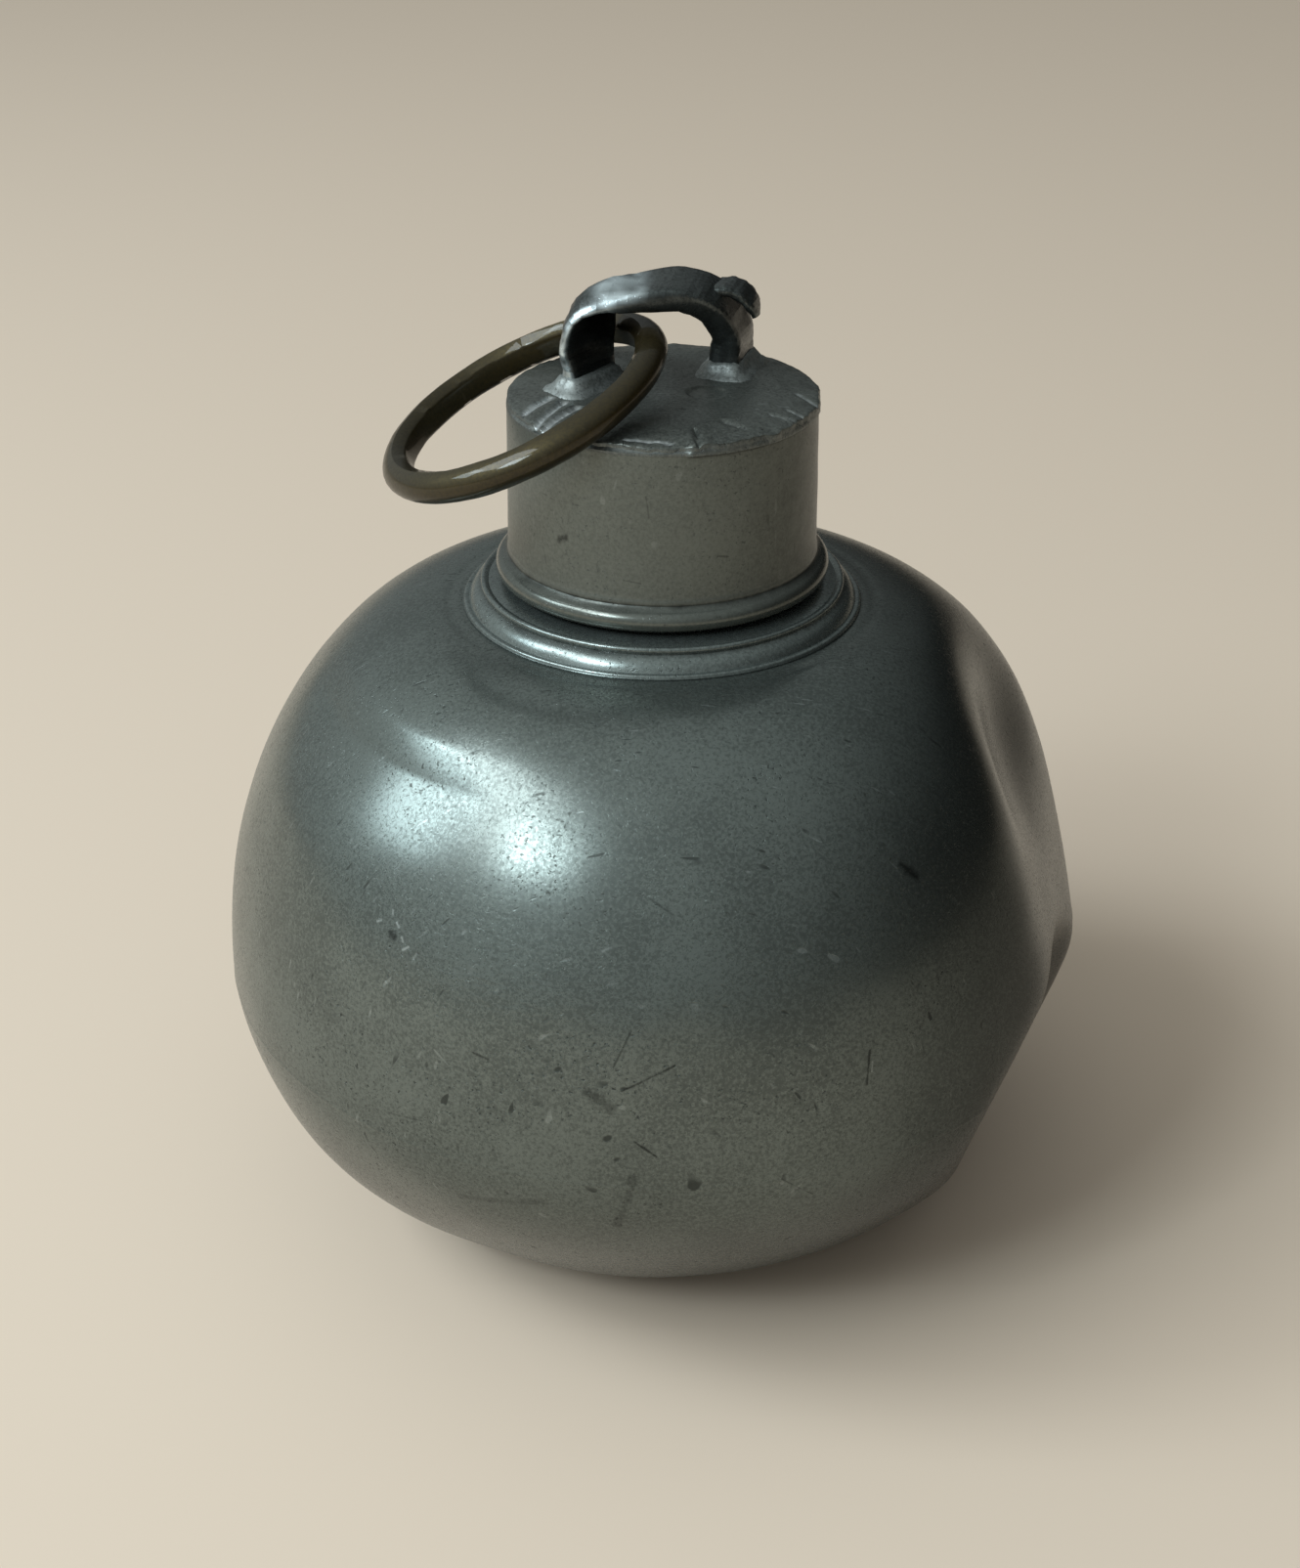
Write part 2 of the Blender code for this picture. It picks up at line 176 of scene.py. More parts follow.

# Tool cuts in the plate: start and end in plan, half width, depth, brightness of the painted highlight in the
# cut
PLATE_CUTS = (
    (-16.4, -7.6, -13.6, -4.2, 0.9, 0.40, 1.0),
    (-15.2, -11.6, -11.8, -5.9, 0.8, 0.45, 1.0),
    (-14.4, -13.0, -10.2, -7.7, 0.8, 0.45, 0.9),
    (-12.8, -14.1, -9.9, -10.1, 0.7, 0.35, 0.8),
    (3.6, -15.0, 4.2, -19.0, 0.35, 0.40, 0.0),
    (16.1, -2.0, 18.8, -5.6, 0.35, 0.20, 0.6),
    (14.7, -7.7, 17.6, -10.1, 0.35, 0.20, 0.5),
    (-4.4, -17.2, 0.9, -18.0, 0.30, 0.10, 1.0),
    (12.5, -9.5, 15.5, -10.8, 0.3, 0.15, 0.3),
    (7.0, -12.5, 9.5, -14.0, 0.5, 0.25, 0.1),
)
# Shallow half moon in the plate: middle in plan, radius and depth
MOON_X, MOON_Y, MOON_R, MOON_DEPTH = 5.3, -2.3, 2.6, 0.22

# Marks on the wall: plan angle and height of both ends, half width, shade (below zero dark, above bright)
WALL_MARKS = (
    (-94.8, 49.2, -88.8, 52.3, 0.22, -0.8),
    (-93.3, 42.9, -90.8, 41.0, 0.24, -0.8),
    (-95.8, 52.0, -93.8, 56.3, 0.20, -0.6),
    (-76.3, 36.6, -72.3, 33.2, 0.20, -0.7),
    (-65.2, 51.0, -65.8, 47.0, 0.26, -0.8),
    (-112.8, 51.3, -110.8, 50.9, 0.30, -0.7),
    (-124.0, 39.8, -119.3, 40.5, 0.20, -0.4),
    (-91.8, 69.9, -88.8, 68.4, 0.25, -0.5),
    (-98.6, 48.8, -95.8, 47.0, 1.1, -0.5),
    (-93.3, 38.2, -95.4, 30.0, 1.0, -0.45),
    (-115.3, 29.8, -104.3, 32.6, 0.8, -0.35),
    (-56.2, 69.6, -54.4, 67.8, 0.8, -0.8),
    (-126.4, 61.6, -125.8, 61.4, 0.8, -0.7),
    (-128.9, 62.2, -128.3, 62.5, 0.28, 0.75),
    (-126.9, 64.0, -126.7, 63.6, 0.26, 0.65),
    (-125.8, 62.9, -125.3, 62.5, 0.30, 0.75),
    (-124.6, 61.6, -124.3, 61.2, 0.30, 0.7),
    (-124.0, 60.4, -123.3, 60.9, 0.25, 0.7),
    (-97.6, 64.6, -96.6, 65.0, 0.26, 0.35),
    (-117.8, 50.3, -115.8, 48.9, 0.20, 0.25),
    (-64.9, 49.6, -65.1, 48.4, 0.20, 0.4),
)
# Marks on the cap's wall, in the same order
CAP_MARKS = (
    (-129.6, 99.0, -126.6, 99.5, 0.75, -0.8),
    (-166.0, 103.9, -152.0, 104.0, 0.16, -0.45),
    (-150.0, 104.1, -136.0, 104.0, 0.16, -0.45),
    (-134.0, 103.8, -121.0, 103.9, 0.15, -0.4),
    (-140.0, 101.5, -128.0, 101.7, 0.13, -0.35),
    (-96.0, 106.0, -95.0, 103.4, 0.18, -0.4),
    (-70.0, 98.2, -66.5, 98.0, 0.22, -0.5),
    (-104.0, 95.4, -98.0, 95.2, 0.18, -0.45),
    (-60.0, 103.0, -58.6, 101.8, 0.2, -0.4),
)

# Fineness of the meshes: steps round each turned piece, rows up the walls, steps between the strap's rows
WALL_STEPS = 288
TURNED_STEPS = 176
PLATE_STEPS = 320
SEAL_STEPS = 96
THREAD_STEPS = 64
RING_STEPS = 180
BOWL_ROWS = 56
SHOULDER_ROWS = 96
STRAP_STEPS = 8
STRAP_END_STEPS = 5
STRAP_END_SIDES = 20
SOLDER_STEPS = 72

# Each lamp: name, plan angle, height angle, width, height, watts and colour
LAMPS = (
    ("window", -160.0, 47.0, 0.84, 0.50, 9.0, (0.86, 0.95, 1.0)),
    ("low_pane", -177.0, 34.0, 0.40, 0.34, 3.4, (0.76, 0.92, 1.0)),
    ("bright_pane", -132.5, 38.5, 0.36, 0.27, 5.6, (0.80, 0.94, 1.0)),
)
LAMP_AIM = Vector((0.0, 0.0, 0.06))
LAMP_DISTANCE = 1.3
SKY_WAY = (-0.68, -0.28, 0.68)  # where the sky is brightest
SKY_COLOUR = (0.88, 0.94, 0.92, 1.0)
SKY_DARK, SKY_BRIGHT = 0.01, 0.68
FLOOR_COLOUR = (0.69, 0.56, 0.445, 1.0)

CAMERA_AT = Vector((-1.54, -267.8, 203.4))
CAMERA_DOWN = 28.5
SENSOR = 36.0
FOCAL_PIXELS, FRAME_PIXELS = 2350.0, 1604.0


def smoothstep(lo, hi, value):
    x = min(1.0, max(0.0, (value - lo) / (hi - lo)))
    return x * x * (3.0 - 2.0 * x)


def share_of(value):
    return min(1.0, max(0.0, value))


# Meshes

def spin_outline(bm, verts, steps, closed):
    """Joins the points of an outline and turns it about Z."""
    pairs = list(zip(verts, verts[1:]))
    if closed:
        pairs.append((verts[-1], verts[0]))
    edges = [bm.edges.new(pair) for pair in pairs]
    bmesh.ops.spin(bm, geom=verts + edges, cent=(0, 0, 0), axis=(0, 0, 1), dvec=(0, 0, 0),
                   angle=2.0 * pi, steps=steps, use_merge=True)


def lathe(outline, steps, closed=True):
    """Turns an (r, z) outline about Z. An open outline starts and ends on the axis."""
    bm = bmesh.new()
    spin_outline(bm, [bm.verts.new((r * MM, 0.0, z * MM)) for r, z in outline], steps, closed)
    return bm


def arc(centre, radius, start, end, count):
    """Points of an arc in the (r, z) plane, angles in degrees from the outward direction."""
    for i in range(count + 1):
        a = radians(start + (end - start) * i / count)
        yield centre[0] + radius * cos(a), centre[1] + radius * sin(a)


def line(start, end, count):
    """Points after start up to end, evenly spaced."""
    for i in range(1, count + 1):
        t = i / count
        yield start[0] + (end[0] - start[0]) * t, start[1] + (end[1] - start[1]) * t


def catmull(p0, p1, p2, p3, t):
    """Point of a smooth curve through p1 and p2."""
    return tuple(0.5 * (2.0 * b + (c - a) * t + (2.0 * a - 5.0 * b + 4.0 * c - d) * t * t
                        + (3.0 * b - a - 3.0 * c + d) * t * t * t)
                 for a, b, c, d in zip(p0, p1, p2, p3))


def direction(rows, i):
    """Way along a curve at one of its rows, from the row before to the row after."""
    before, after = rows[max(i - 1, 0)], rows[min(i + 1, len(rows) - 1)]
    return Vector([after[k] - before[k] for k in range(3)]).normalized()


def draw_on(bm, face, first):
    """Extrudes the end face of a bar and returns the new end face."""
    grown = bmesh.ops.extrude_face_region(bm, geom=[face], use_keep_orig=first)["geom"]
    return next(g for g in grown if isinstance(g, bmesh.types.BMFace))


def to_object(name, bm, material):
    """Puts a mesh in the scene as an object with one material."""
    mesh = bpy.data.meshes.new(name)
    bm.to_mesh(mesh)
    bm.free()
    mesh.materials.append(material)
    made = bpy.data.objects.new(name, mesh)
    bpy.context.scene.collection.objects.link(made)
    return made


def finish_piece(name, bm, material, body, nodes, sharp=40.0):
    """Closes the mesh, puts it in the scene, ties it to its body and hides the solids that it stands in for.
    """
    bmesh.ops.remove_doubles(bm, verts=bm.verts, dist=0.000002)
    bmesh.ops.dissolve_degenerate(bm, edges=bm.edges, dist=0.000001)
    bmesh.ops.recalc_face_normals(bm, faces=bm.faces)
    piece = to_object(name, bm, material)
    for polygon in piece.data.polygons:
        polygon.use_smooth = True
    piece.data.set_sharp_from_angle(angle=radians(sharp))
    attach(piece, body)
    if nodes:
        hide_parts(*nodes)
    return piece


# The dented body

def bezier(p, t):
    s = 1.0 - t
    w = (s * s * s, 3.0 * s * s * t, 3.0 * s * t * t, t * t * t)
    return tuple(sum(w[i] * p[i][k] for i in range(4)) for k in range(2))


def shoulder_curve():
    run = BELLY_R - SHOULDER_R
    rise = SHOULDER_Z - BELLY_Z
    return ((BELLY_R, BELLY_Z), (BELLY_R, BELLY_Z + 0.45 * rise),
            (SHOULDER_R + 0.61 * run, SHOULDER_Z), (SHOULDER_R, SHOULDER_Z))


def bowl_curve():
    slope = radians(23.0)
    reach = 10.0
    return ((BASE_R, 0.0), (BASE_R + reach * cos(slope), reach * sin(slope)),
            (BELLY_R, 0.6 * BELLY_Z), (BELLY_R, BELLY_Z))


def curve_station(curve, t):
    """Point of the outer wall and its outward normal, both as (r, z)."""
    step = 0.0005
    a = bezier(curve, max(0.0, t - step))
    b = bezier(curve, min(1.0, t + step))
    length = hypot(b[0] - a[0], b[1] - a[1])
    return bezier(curve, t), ((b[1] - a[1]) / length, (a[0] - b[0]) / length)


def curve_at_height(curve, height):
    lo, hi = 0.0, 1.0
    for _ in range(50):
        mid = 0.5 * (lo + hi)
        if bezier(curve, mid)[1] < height:
            lo = mid
        else:
            hi = mid
    return lo


def wall_station(height):
    curve = bowl_curve() if height < BELLY_Z else shoulder_curve()
    return curve_station(curve, curve_at_height(curve, height))


def dent_cuts():
    """The plane that cuts each dent: its middle and normal, with the depth, throw and softness."""
    cuts = []
    for angle, height, depth, throw, soft, pitch in DENTS:
        (r, z), (nr, nz) = wall_station(height)
        a = radians(angle)
        tilt = atan2(nz, nr) + radians(pitch)
        middle = Vector((r * cos(a), r * sin(a), z))
        normal = Vector((cos(a) * cos(tilt), sin(a) * cos(tilt), sin(tilt)))
        cuts.append((middle, normal, depth, throw, soft))
    return cuts


DENT_CUTS = dent_cuts()
FOLD_R = wall_station(FOLD_Z)[0][0]


def fold_shift(point):
    """The upper left dent: the wall steps in below a crease and comes back further down."""
    turn = atan2(point.y, point.x)
    below = hypot(hypot(point.x, point.y) - FOLD_R, FOLD_Z - point.z)
    if point.z > FOLD_Z or below > FOLD_RUN:
        return Vector()
    start, full, fade, end = FOLD_SPAN
    span = smoothstep(start, full, degrees(turn)) * (1.0 - smoothstep(fade, end, degrees(turn)))
    step_in = min(1.0, below / FOLD_STEP)
    depth = FOLD_DEPTH * span * step_in * (1.0 - smoothstep(FOLD_STEP, FOLD_RUN, below))
    return -depth * Vector((cos(turn) * cos(FOLD_TILT), sin(turn) * cos(FOLD_TILT), sin(FOLD_TILT)))


def dent_shift(point):
    """Shift of a wall point: metal beyond each dent's cut is thrown back across it."""
    shift = fold_shift(point)
    for middle, normal, depth, throw, soft in DENT_CUTS:
        level = normal.dot(point - middle)
        over = (level + depth) / soft
        if level > -DENT_REACH and over > -20.0:
            pressed = soft * (over if over > 30.0 else log(1.0 + exp(over)))
            shift -= normal * (throw * pressed)
    come_in = smoothstep(DENT_CLEAR, DENT_FOOT, point.z)
    run_out = smoothstep(SHOULDER_Z - DENT_BROW, SHOULDER_Z - DENT_CLEAR, point.z)
    return shift * (come_in * (1.0 - run_out))


def hand_wobble(point):
    """Slow unevenness of a hand-finished wall, along the way out from the axis."""
    out = Vector((point.x, point.y, 0.6 * (point.z - BELLY_Z)))
    if out.length < 1e-6:
        return Vector()
    keep = smoothstep(*WOBBLE_FOOT, point.z) * (1.0 - smoothstep(*WOBBLE_BROW, point.z))
    return out.normalized() * keep * sum(size * noise.noise(point * fine + at) for fine, size, at in WOBBLE)


def wall_point(angle, height):
    """Point of the finished outer wall at a plan angle and a height."""
    r, z = wall_station(height)[0]
    a = radians(angle)
    point = Vector((r * cos(a), r * sin(a), z))
    return point + dent_shift(point) + hand_wobble(point)


# Middle and reach of the finely creased patch below the upper left dent
CREASED_AT = wall_point(-110.0, 61.0)
CREASED_REACH = 7.5


def wall_outline(stations):
    """Outer wall upwards and inner wall back, each point with its outer wall point."""
    outer = [(p, p) for p, n in stations]
    inner = [((p[0] - WALL * n[0], p[1] - WALL * n[1]), p) for p, n in reversed(stations)]
    return outer + inner


def body_painted_shade(wall):
    """Share of painted shade on the wall, thickest at the right side and towards the foot."""
    right = RIGHT_PAINTED_SHADE * smoothstep(RIGHT_FROM, RIGHT_TO, wall.x)
    foot = FOOT_PAINTED_SHADE * (1.0 - smoothstep(FOOT_FROM, FOOT_TO, wall.z))
    return min(BODY_PAINTED_SHADE, right + foot)


def dented_lathe(rows, closed):
    """A turned wall whose points carry the outer wall point that bends them."""
    bm = bmesh.new()
    outer_r = bm.verts.layers.float.new("outer_r")
    outer_z = bm.verts.layers.float.new("outer_z")
    verts = []
    for (r, z), (wall_r, wall_z) in rows:
        v = bm.verts.new((r * MM, 0.0, z * MM))
        v[outer_r] = wall_r
        v[outer_z] = wall_z
        verts.append(v)
    spin_outline(bm, verts, WALL_STEPS, closed)
    # Painted shade on the wall, darker at the right side and towards the foot
    painted_shade = bm.verts.layers.float.new("painted_shade")
    creased = bm.verts.layers.float.new("creased")
    for v in bm.verts:
        a = atan2(v.co.y, v.co.x)
        wall = Vector((v[outer_r] * cos(a), v[outer_r] * sin(a), v[outer_z]))
        v[painted_shade] = body_painted_shade(wall)
        v[creased] = exp(-((wall - CREASED_AT).length / CREASED_REACH) ** 2)
        v.co += (dent_shift(wall) + hand_wobble(wall)) * MM
    return bm


def make_bowl(material):
    curve = bowl_curve()
    last = curve_at_height(curve, SEAM_LOW)
    walls = wall_outline([curve_station(curve, last * i / BOWL_ROWS) for i in range(BOWL_ROWS + 1)])
    floor_z = walls[-1][0][1]
    base = [((r, 0.0), (r, 0.0)) for r in (0.0, 9.0, 18.0, 26.0)]
    inside = [((r, floor_z), (r, 0.0)) for r in (20.0, 9.0, 0.0)]
    bm = dented_lathe(base + walls + inside, closed=False)
    return finish_piece("bowl", bm, material, "flask", ["lower_bowl"])


def make_shoulder(material):
    below = bowl_curve()
    above = shoulder_curve()
    stations = [curve_station(below, curve_at_height(below, SEAM_HIGH))]
    stations += [curve_station(above, i / SHOULDER_ROWS) for i in range(SHOULDER_ROWS)]
    scored = []
    for (r, z), n in stations:
        cut = TURNED_LINE_DEPTH * exp(-((r - TURNED_LINE_R) / TURNED_LINE_HALF) ** 2)
        scored.append(((r, z - cut), n))
    scored.append(((SHOULDER_R, SHOULDER_Z), (0.0, 1.0)))
    scored.append(((HOLE_R, SHOULDER_Z), (0.0, 1.0)))
    bm = dented_lathe(wall_outline(scored), closed=True)
    return finish_piece("shoulder", bm, material, "flask", ["upper_shell"])


def make_seam(material):
    curve = bowl_curve()
    heights = (SEAM_LOW, 0.5 * (SEAM_LOW + SEAM_HIGH), SEAM_HIGH)
    rows = wall_outline([curve_station(curve, curve_at_height(curve, h)) for h in heights])
    (r, z), wall = rows[1]
    rows[1] = ((r + SEAM_PROUD, z), wall)
    bm = dented_lathe(rows, closed=True)
    return finish_piece("belly_seam", bm, material, "flask", ["belly_solder"])


# Neck and collar

def neck_outline():
    """From the bore's foot out over the collar's edge, flank and rim, up the neck and back into the bore."""
    outline = [(NECK_BORE, NECK_FOOT), (HOLE_R - 0.3, NECK_FOOT), (HOLE_R - 0.3, COLLAR_SEAT)]
    outline += [(COLLAR_R - 0.02, COLLAR_SEAT), (COLLAR_R, COLLAR_SEAT + 0.14)]
    outline += arc((COLLAR_R - 0.42, COLLAR_SEAT + 0.22), 0.36, 0.0, 95.0, 4)
    for i in range(9):
        t = i / 8
        belly = 0.22 * sin(pi * t)
        outline.append((FLANK_FOOT[0] + (FLANK_TOP[0] - FLANK_FOOT[0]) * t + belly * 0.8,
                        FLANK_FOOT[1] + (FLANK_TOP[1] - FLANK_FOOT[1]) * t + belly * 0.7))
    outline += arc((COLLAR_RIM_R - 0.28, COLLAR_TOP - 0.52), 0.40, -15.0, 120.0, 6)
    outline += [(COLLAR_RIM_R - 0.9, COLLAR_TOP - 0.38), (COLLAR_RIM_R - 1.5, COLLAR_TOP - 0.22),
                (COLLAR_RIM_R - 2.6, COLLAR_TOP + 0.02), (NECK_ROOT + 2.4, COLLAR_TOP + 0.1),
                (NECK_ROOT + 0.6, COLLAR_TOP + 0.15), (NECK_ROOT, COLLAR_TOP + 0.6)]
    outline += [(NECK_ROOT, NECK_TOP - 0.8), (NECK_ROOT - 0.25, NECK_TOP - 0.2), (NECK_ROOT - 0.6, NECK_TOP),
                (NECK_BORE + 0.4, NECK_TOP), (NECK_BORE, NECK_TOP - 0.4)]
    return outline


def collar_painted_shade(p):
    """Share of painted shade on the ledge behind the collar's rim, under the rim and in the seam at its foot.
    """
    r = hypot(p.x, p.y)
    patchy = 0.75 + 0.5 * noise.noise(p * 0.7)
    behind_rim = smoothstep(COLLAR_RIM_R - 0.5, COLLAR_RIM_R - 1.3, r)
    ledge = behind_rim * smoothstep(COLLAR_TOP - 0.8, COLLAR_TOP - 0.4, p.z)
    under_rim = exp(-(hypot(r - FLANK_TOP[0], p.z - FLANK_TOP[1]) / 0.45) ** 2)
    seam = 0.0
    if p.z > COLLAR_SEAT - 0.1:
        seam = 1.0 - smoothstep(COLLAR_SEAT + 0.05, COLLAR_SEAT + 0.35, p.z)
    return share_of(patchy * max(0.25 * ledge, 0.6 * under_rim, 0.6 * seam))


def make_neck(material):
    bm = lathe(neck_outline(), TURNED_STEPS)
    # Painted shade in the collar's recesses: on the ledge, under the rim and in the seam at its foot
    painted_shade = bm.verts.layers.float.new("painted_shade")
    for v in bm.verts:
        v[painted_shade] = collar_painted_shade(v.co / MM)
    return finish_piece("collar_and_neck", bm, material, "flask", ["screw_neck"])


def helix(root, crest, foot, top, name, material, body):
    """A rounded screw ridge of the thread's pitch between two heights."""
    turns = (top - foot - RIDGE_H) / THREAD_PITCH
    reach = crest - root
    ridge = ((root - 0.2 * reach, 0.0), (root + 0.35 * reach, 0.35), (crest, 0.75),
             (crest, 1.05), (root + 0.35 * reach, 1.45), (root - 0.2 * reach, RIDGE_H))
    bm = bmesh.new()
    face = bm.faces.new([bm.verts.new((r * MM, 0.0, (foot + h) * MM)) for r, h in ridge])
    steps = int(turns * THREAD_STEPS)
    lift = (0.0, 0.0, THREAD_PITCH * MM / THREAD_STEPS)
    bmesh.ops.spin(bm, geom=[face, *face.edges, *face.verts], cent=(0, 0, 0), axis=(0, 0, 1), dvec=lift,
                   angle=2.0 * pi * steps / THREAD_STEPS, steps=steps)
    return finish_piece(name, bm, material, body, [])


# Cap

def plate_lip(p):
    """1 where the plate keeps its full lip, at the right of the worn front edge."""
    angle = degrees(atan2(p.y, p.x))
    return smoothstep(WORN_TO - 3.0, WORN_TO, angle) * (1.0 - smoothstep(60.0, 100.0, angle))


def cap_outline():
    """From the foot out over the bead, up the side and back down the bore."""
    bead_mid = CAP_FOOT + 0.5 * BEAD_H
    outline = [(CAP_ROOT, CAP_FOOT), (CAP_LOW_R - 0.1, CAP_FOOT), (CAP_LOW_R + 0.35, CAP_FOOT + 0.15)]
    for i in range(1, 12):
        a = radians(-75.0 + 150.0 * i / 12)
        outline.append((BEAD_R - BEAD_ROUND + BEAD_ROUND * cos(a), bead_mid + BEAD_ROUND * sin(a)))
    outline += [(CAP_LOW_R + 0.25, BEAD_TOP - 0.1), (CAP_LOW_R + 0.05, BEAD_TOP + 0.2),
                (CAP_LOW_R + 0.12, BEAD_TOP + 0.55), (CAP_LOW_R, BEAD_TOP + 0.8)]
    outline += line(outline[-1], (CAP_R + 0.01, PLATE_UNDER - 0.9), 30)
    outline += line(outline[-1], (CAP_R, PLATE_UNDER - 0.03), 5)
    outline += [(CAP_R - 2.3, PLATE_UNDER - 0.03), (CAP_CREST + 0.05, CAP_TOP - 0.2),
                (CAP_CREST + 0.05, CAP_TOP - 4.5), (CAP_ROOT, CAP_TOP - 5.0)]
    return outline


def cap_painted_shade(p, bead):
    """Share of painted shade in the groove over the bead, at the foot, under the lip and on the right side,
    with a little over the bead.
    """
    patchy = 0.75 + 0.5 * noise.noise(p * 0.8)
    groove = exp(-((p.z - BEAD_TOP - 0.2) / 0.35) ** 2)
    foot = 1.0 - smoothstep(CAP_FOOT, CAP_FOOT + 0.9, p.z)
    under_lip = smoothstep(PLATE_UNDER - 0.5, PLATE_UNDER - 0.1, p.z) * plate_lip(p)
    right = smoothstep(4.0, 19.0, p.x)
    return share_of(patchy * max(0.85 * groove, 0.8 * foot, 0.12 * bead, 0.9 * under_lip, 0.45 * right))


def make_cap_wall(material):
    bm = lathe(cap_outline(), TURNED_STEPS)
    # Painted shade in the groove over the bead, at the foot, under the plate's lip and on the right side
    painted_shade = bm.verts.layers.float.new("painted_shade")
    polish = bm.verts.layers.float.new("polish")
    for v in bm.verts:
        p = v.co / MM
        out = Vector((p.x, p.y, 0.0))
        bead = 1.0 - smoothstep(BEAD_TOP - 0.4, BEAD_TOP + 0.2, p.z)
        v[polish] = bead
        v[painted_shade] = cap_painted_shade(p, bead)
        if out.length > CAP_R - 0.2 and p.z > BEAD_TOP:
            keep = 1.0 - smoothstep(PLATE_UNDER - 3.0, PLATE_UNDER - 0.5, p.z)
            v.co += out.normalized() * (0.05 * keep * noise.noise(p * 0.25)) * MM
    return finish_piece("cap_wall_turned", bm, material, "cap", ["cap_wall"])


def stroke_share(x, y, cut):
    """1 in the middle of a cut, 0 outside it."""
    x0, y0, x1, y1, half, _, _ = cut
    run_x, run_y = x1 - x0, y1 - y0
    t = share_of(((x - x0) * run_x + (y - y0) * run_y) / (run_x * run_x + run_y * run_y))
    away = hypot(x - x0 - t * run_x, y - y0 - t * run_y)
    return 1.0 - smoothstep(0.15 * half, half, away)


def plate_edge(p, r, upper):
    """Shift outwards and downwards of the plate's filed, chipped edge."""
    a = atan2(p.y, p.x)
    ragged = noise.noise(Vector((cos(a) * 6.0, sin(a) * 6.0, 0.3)))
    ragged += 0.7 * noise.noise(Vector((cos(a) * 19.0, sin(a) * 19.0, 2.3)))
    filed = smoothstep(WORN_FROM, WORN_FROM + 12.0, degrees(a))
    filed *= 1.0 - smoothstep(WORN_TO - 1.5, WORN_TO, degrees(a))
    rim = smoothstep(17.6, PLATE_R - 0.1, r)
    bite = upper * rim * min(0.02, 0.20 * ragged - 0.12 - 0.25 * filed)
    bite += rim * plate_lip(p) * (0.22 + 0.14 * ragged)
    wear = max(0.0, 0.12 + 0.20 * filed + 0.22 * ragged)
    return bite, -upper * wear * smoothstep(16.1, PLATE_R, r)


def plate_wear_and_highlight(p):
    """Shift and painted highlight of a point of the plate: worn edge, uneven top, half moon and tool cuts."""
    r = hypot(p.x, p.y)
    upper = smoothstep(PLATE_UNDER + 0.2, PLATE_UNDER + 0.9, p.z)
    bite, drop = plate_edge(p, r, upper)
    uneven = 0.08 * noise.noise(p * 0.5) + 0.05 * noise.noise(p * 1.4)
    drop += upper * uneven * smoothstep(0.3, 3.0, r)
    moon = 1.0 - smoothstep(MOON_R - 0.5, MOON_R, hypot(p.x - MOON_X, p.y - MOON_Y))
    drop -= upper * MOON_DEPTH * moon * smoothstep(-1.0, 0.5, -p.y - 0.5)
    bright = 0.0
    for cut in PLATE_CUTS:
        share = stroke_share(p.x, p.y, cut) * upper
        drop -= cut[5] * share
        bright = max(bright, cut[6] * share * (0.65 + 0.5 * noise.noise(p * 2.2)))
    a = atan2(p.y, p.x)
    return Vector((bite * cos(a), bite * sin(a), drop)), bright


def make_plate(material):
    outline = [(r, PLATE_UNDER) for r in (0.0, 8.0, 16.0, PLATE_SIDE_R)]
    outline += line(outline[-1], (PLATE_SIDE_R, PLATE_EDGE_Z - 0.25), 4)
    outline += [(PLATE_SIDE_R - 0.06, PLATE_EDGE_Z - 0.08), (PLATE_SIDE_R - 0.25, PLATE_EDGE_Z + 0.02)]
    outline += line(outline[-1], (PLATE_FLAT_R, PLATE_TOP), 14)
    outline += line((PLATE_FLAT_R, PLATE_TOP), (0.0, PLATE_TOP), 38)
    bm = lathe(outline, PLATE_STEPS, closed=False)
    wear_and_highlight = bm.verts.layers.float.new("wear_and_highlight")
    for v in bm.verts:
        p = v.co / MM
        shift, bright = plate_wear_and_highlight(p)
        at_side = hypot(p.x, p.y) > PLATE_SIDE_R - 0.1 and p.z < PLATE_EDGE_Z - 0.2
        v.co += shift * MM
        # Painted highlight in the tool cuts, and a faint brightening of the plate's side
        v[wear_and_highlight] = 0.08 if at_side else max(0.0, bright)
    return finish_piece("cap_plate", bm, material, "cap", ["cap_top"])


def make_seal(material):
    foot, top, r = low("seal_washer").z, high("seal_washer").z, high("seal_washer").x
    outline = [(0.0, foot), (r - 0.6, foot), (r - 0.15, foot + 0.2), (r, foot + 0.7),
               (r, top - 0.5), (r - 0.5, top), (0.0, top)]
    bm = lathe(outline, SEAL_STEPS, closed=False)
    return finish_piece("cork_seal", bm, material, "seal", ["seal_washer"])


# Loop

def strap_stations():
    """Rows of (x, y, z, turn, width, thickness) from the left foot over the top to the right foot."""
    spring = FOOT_Z + STRAP_FOOT_H
    rows = []
    for (x, y, turn, width, thick), h in zip(STRAP, STRAP_HEIGHTS):
        rows.append((x, y, spring + h * (STRAP_TOP - spring), turn, width, thick))
    first = (*rows[0][:2], FOOT_Z - STRAP_SUNK, *rows[0][3:])
    last = (*rows[-1][:2], FOOT_Z - STRAP_SUNK, *rows[-1][3:])
    padded = [first] + rows + [last]
    stations = [first]
    for i in range(1, len(rows)):
        for k in range(STRAP_STEPS):
            stations.append(catmull(*padded[i - 1:i + 3], k / STRAP_STEPS))
    return stations + [rows[-1], last]


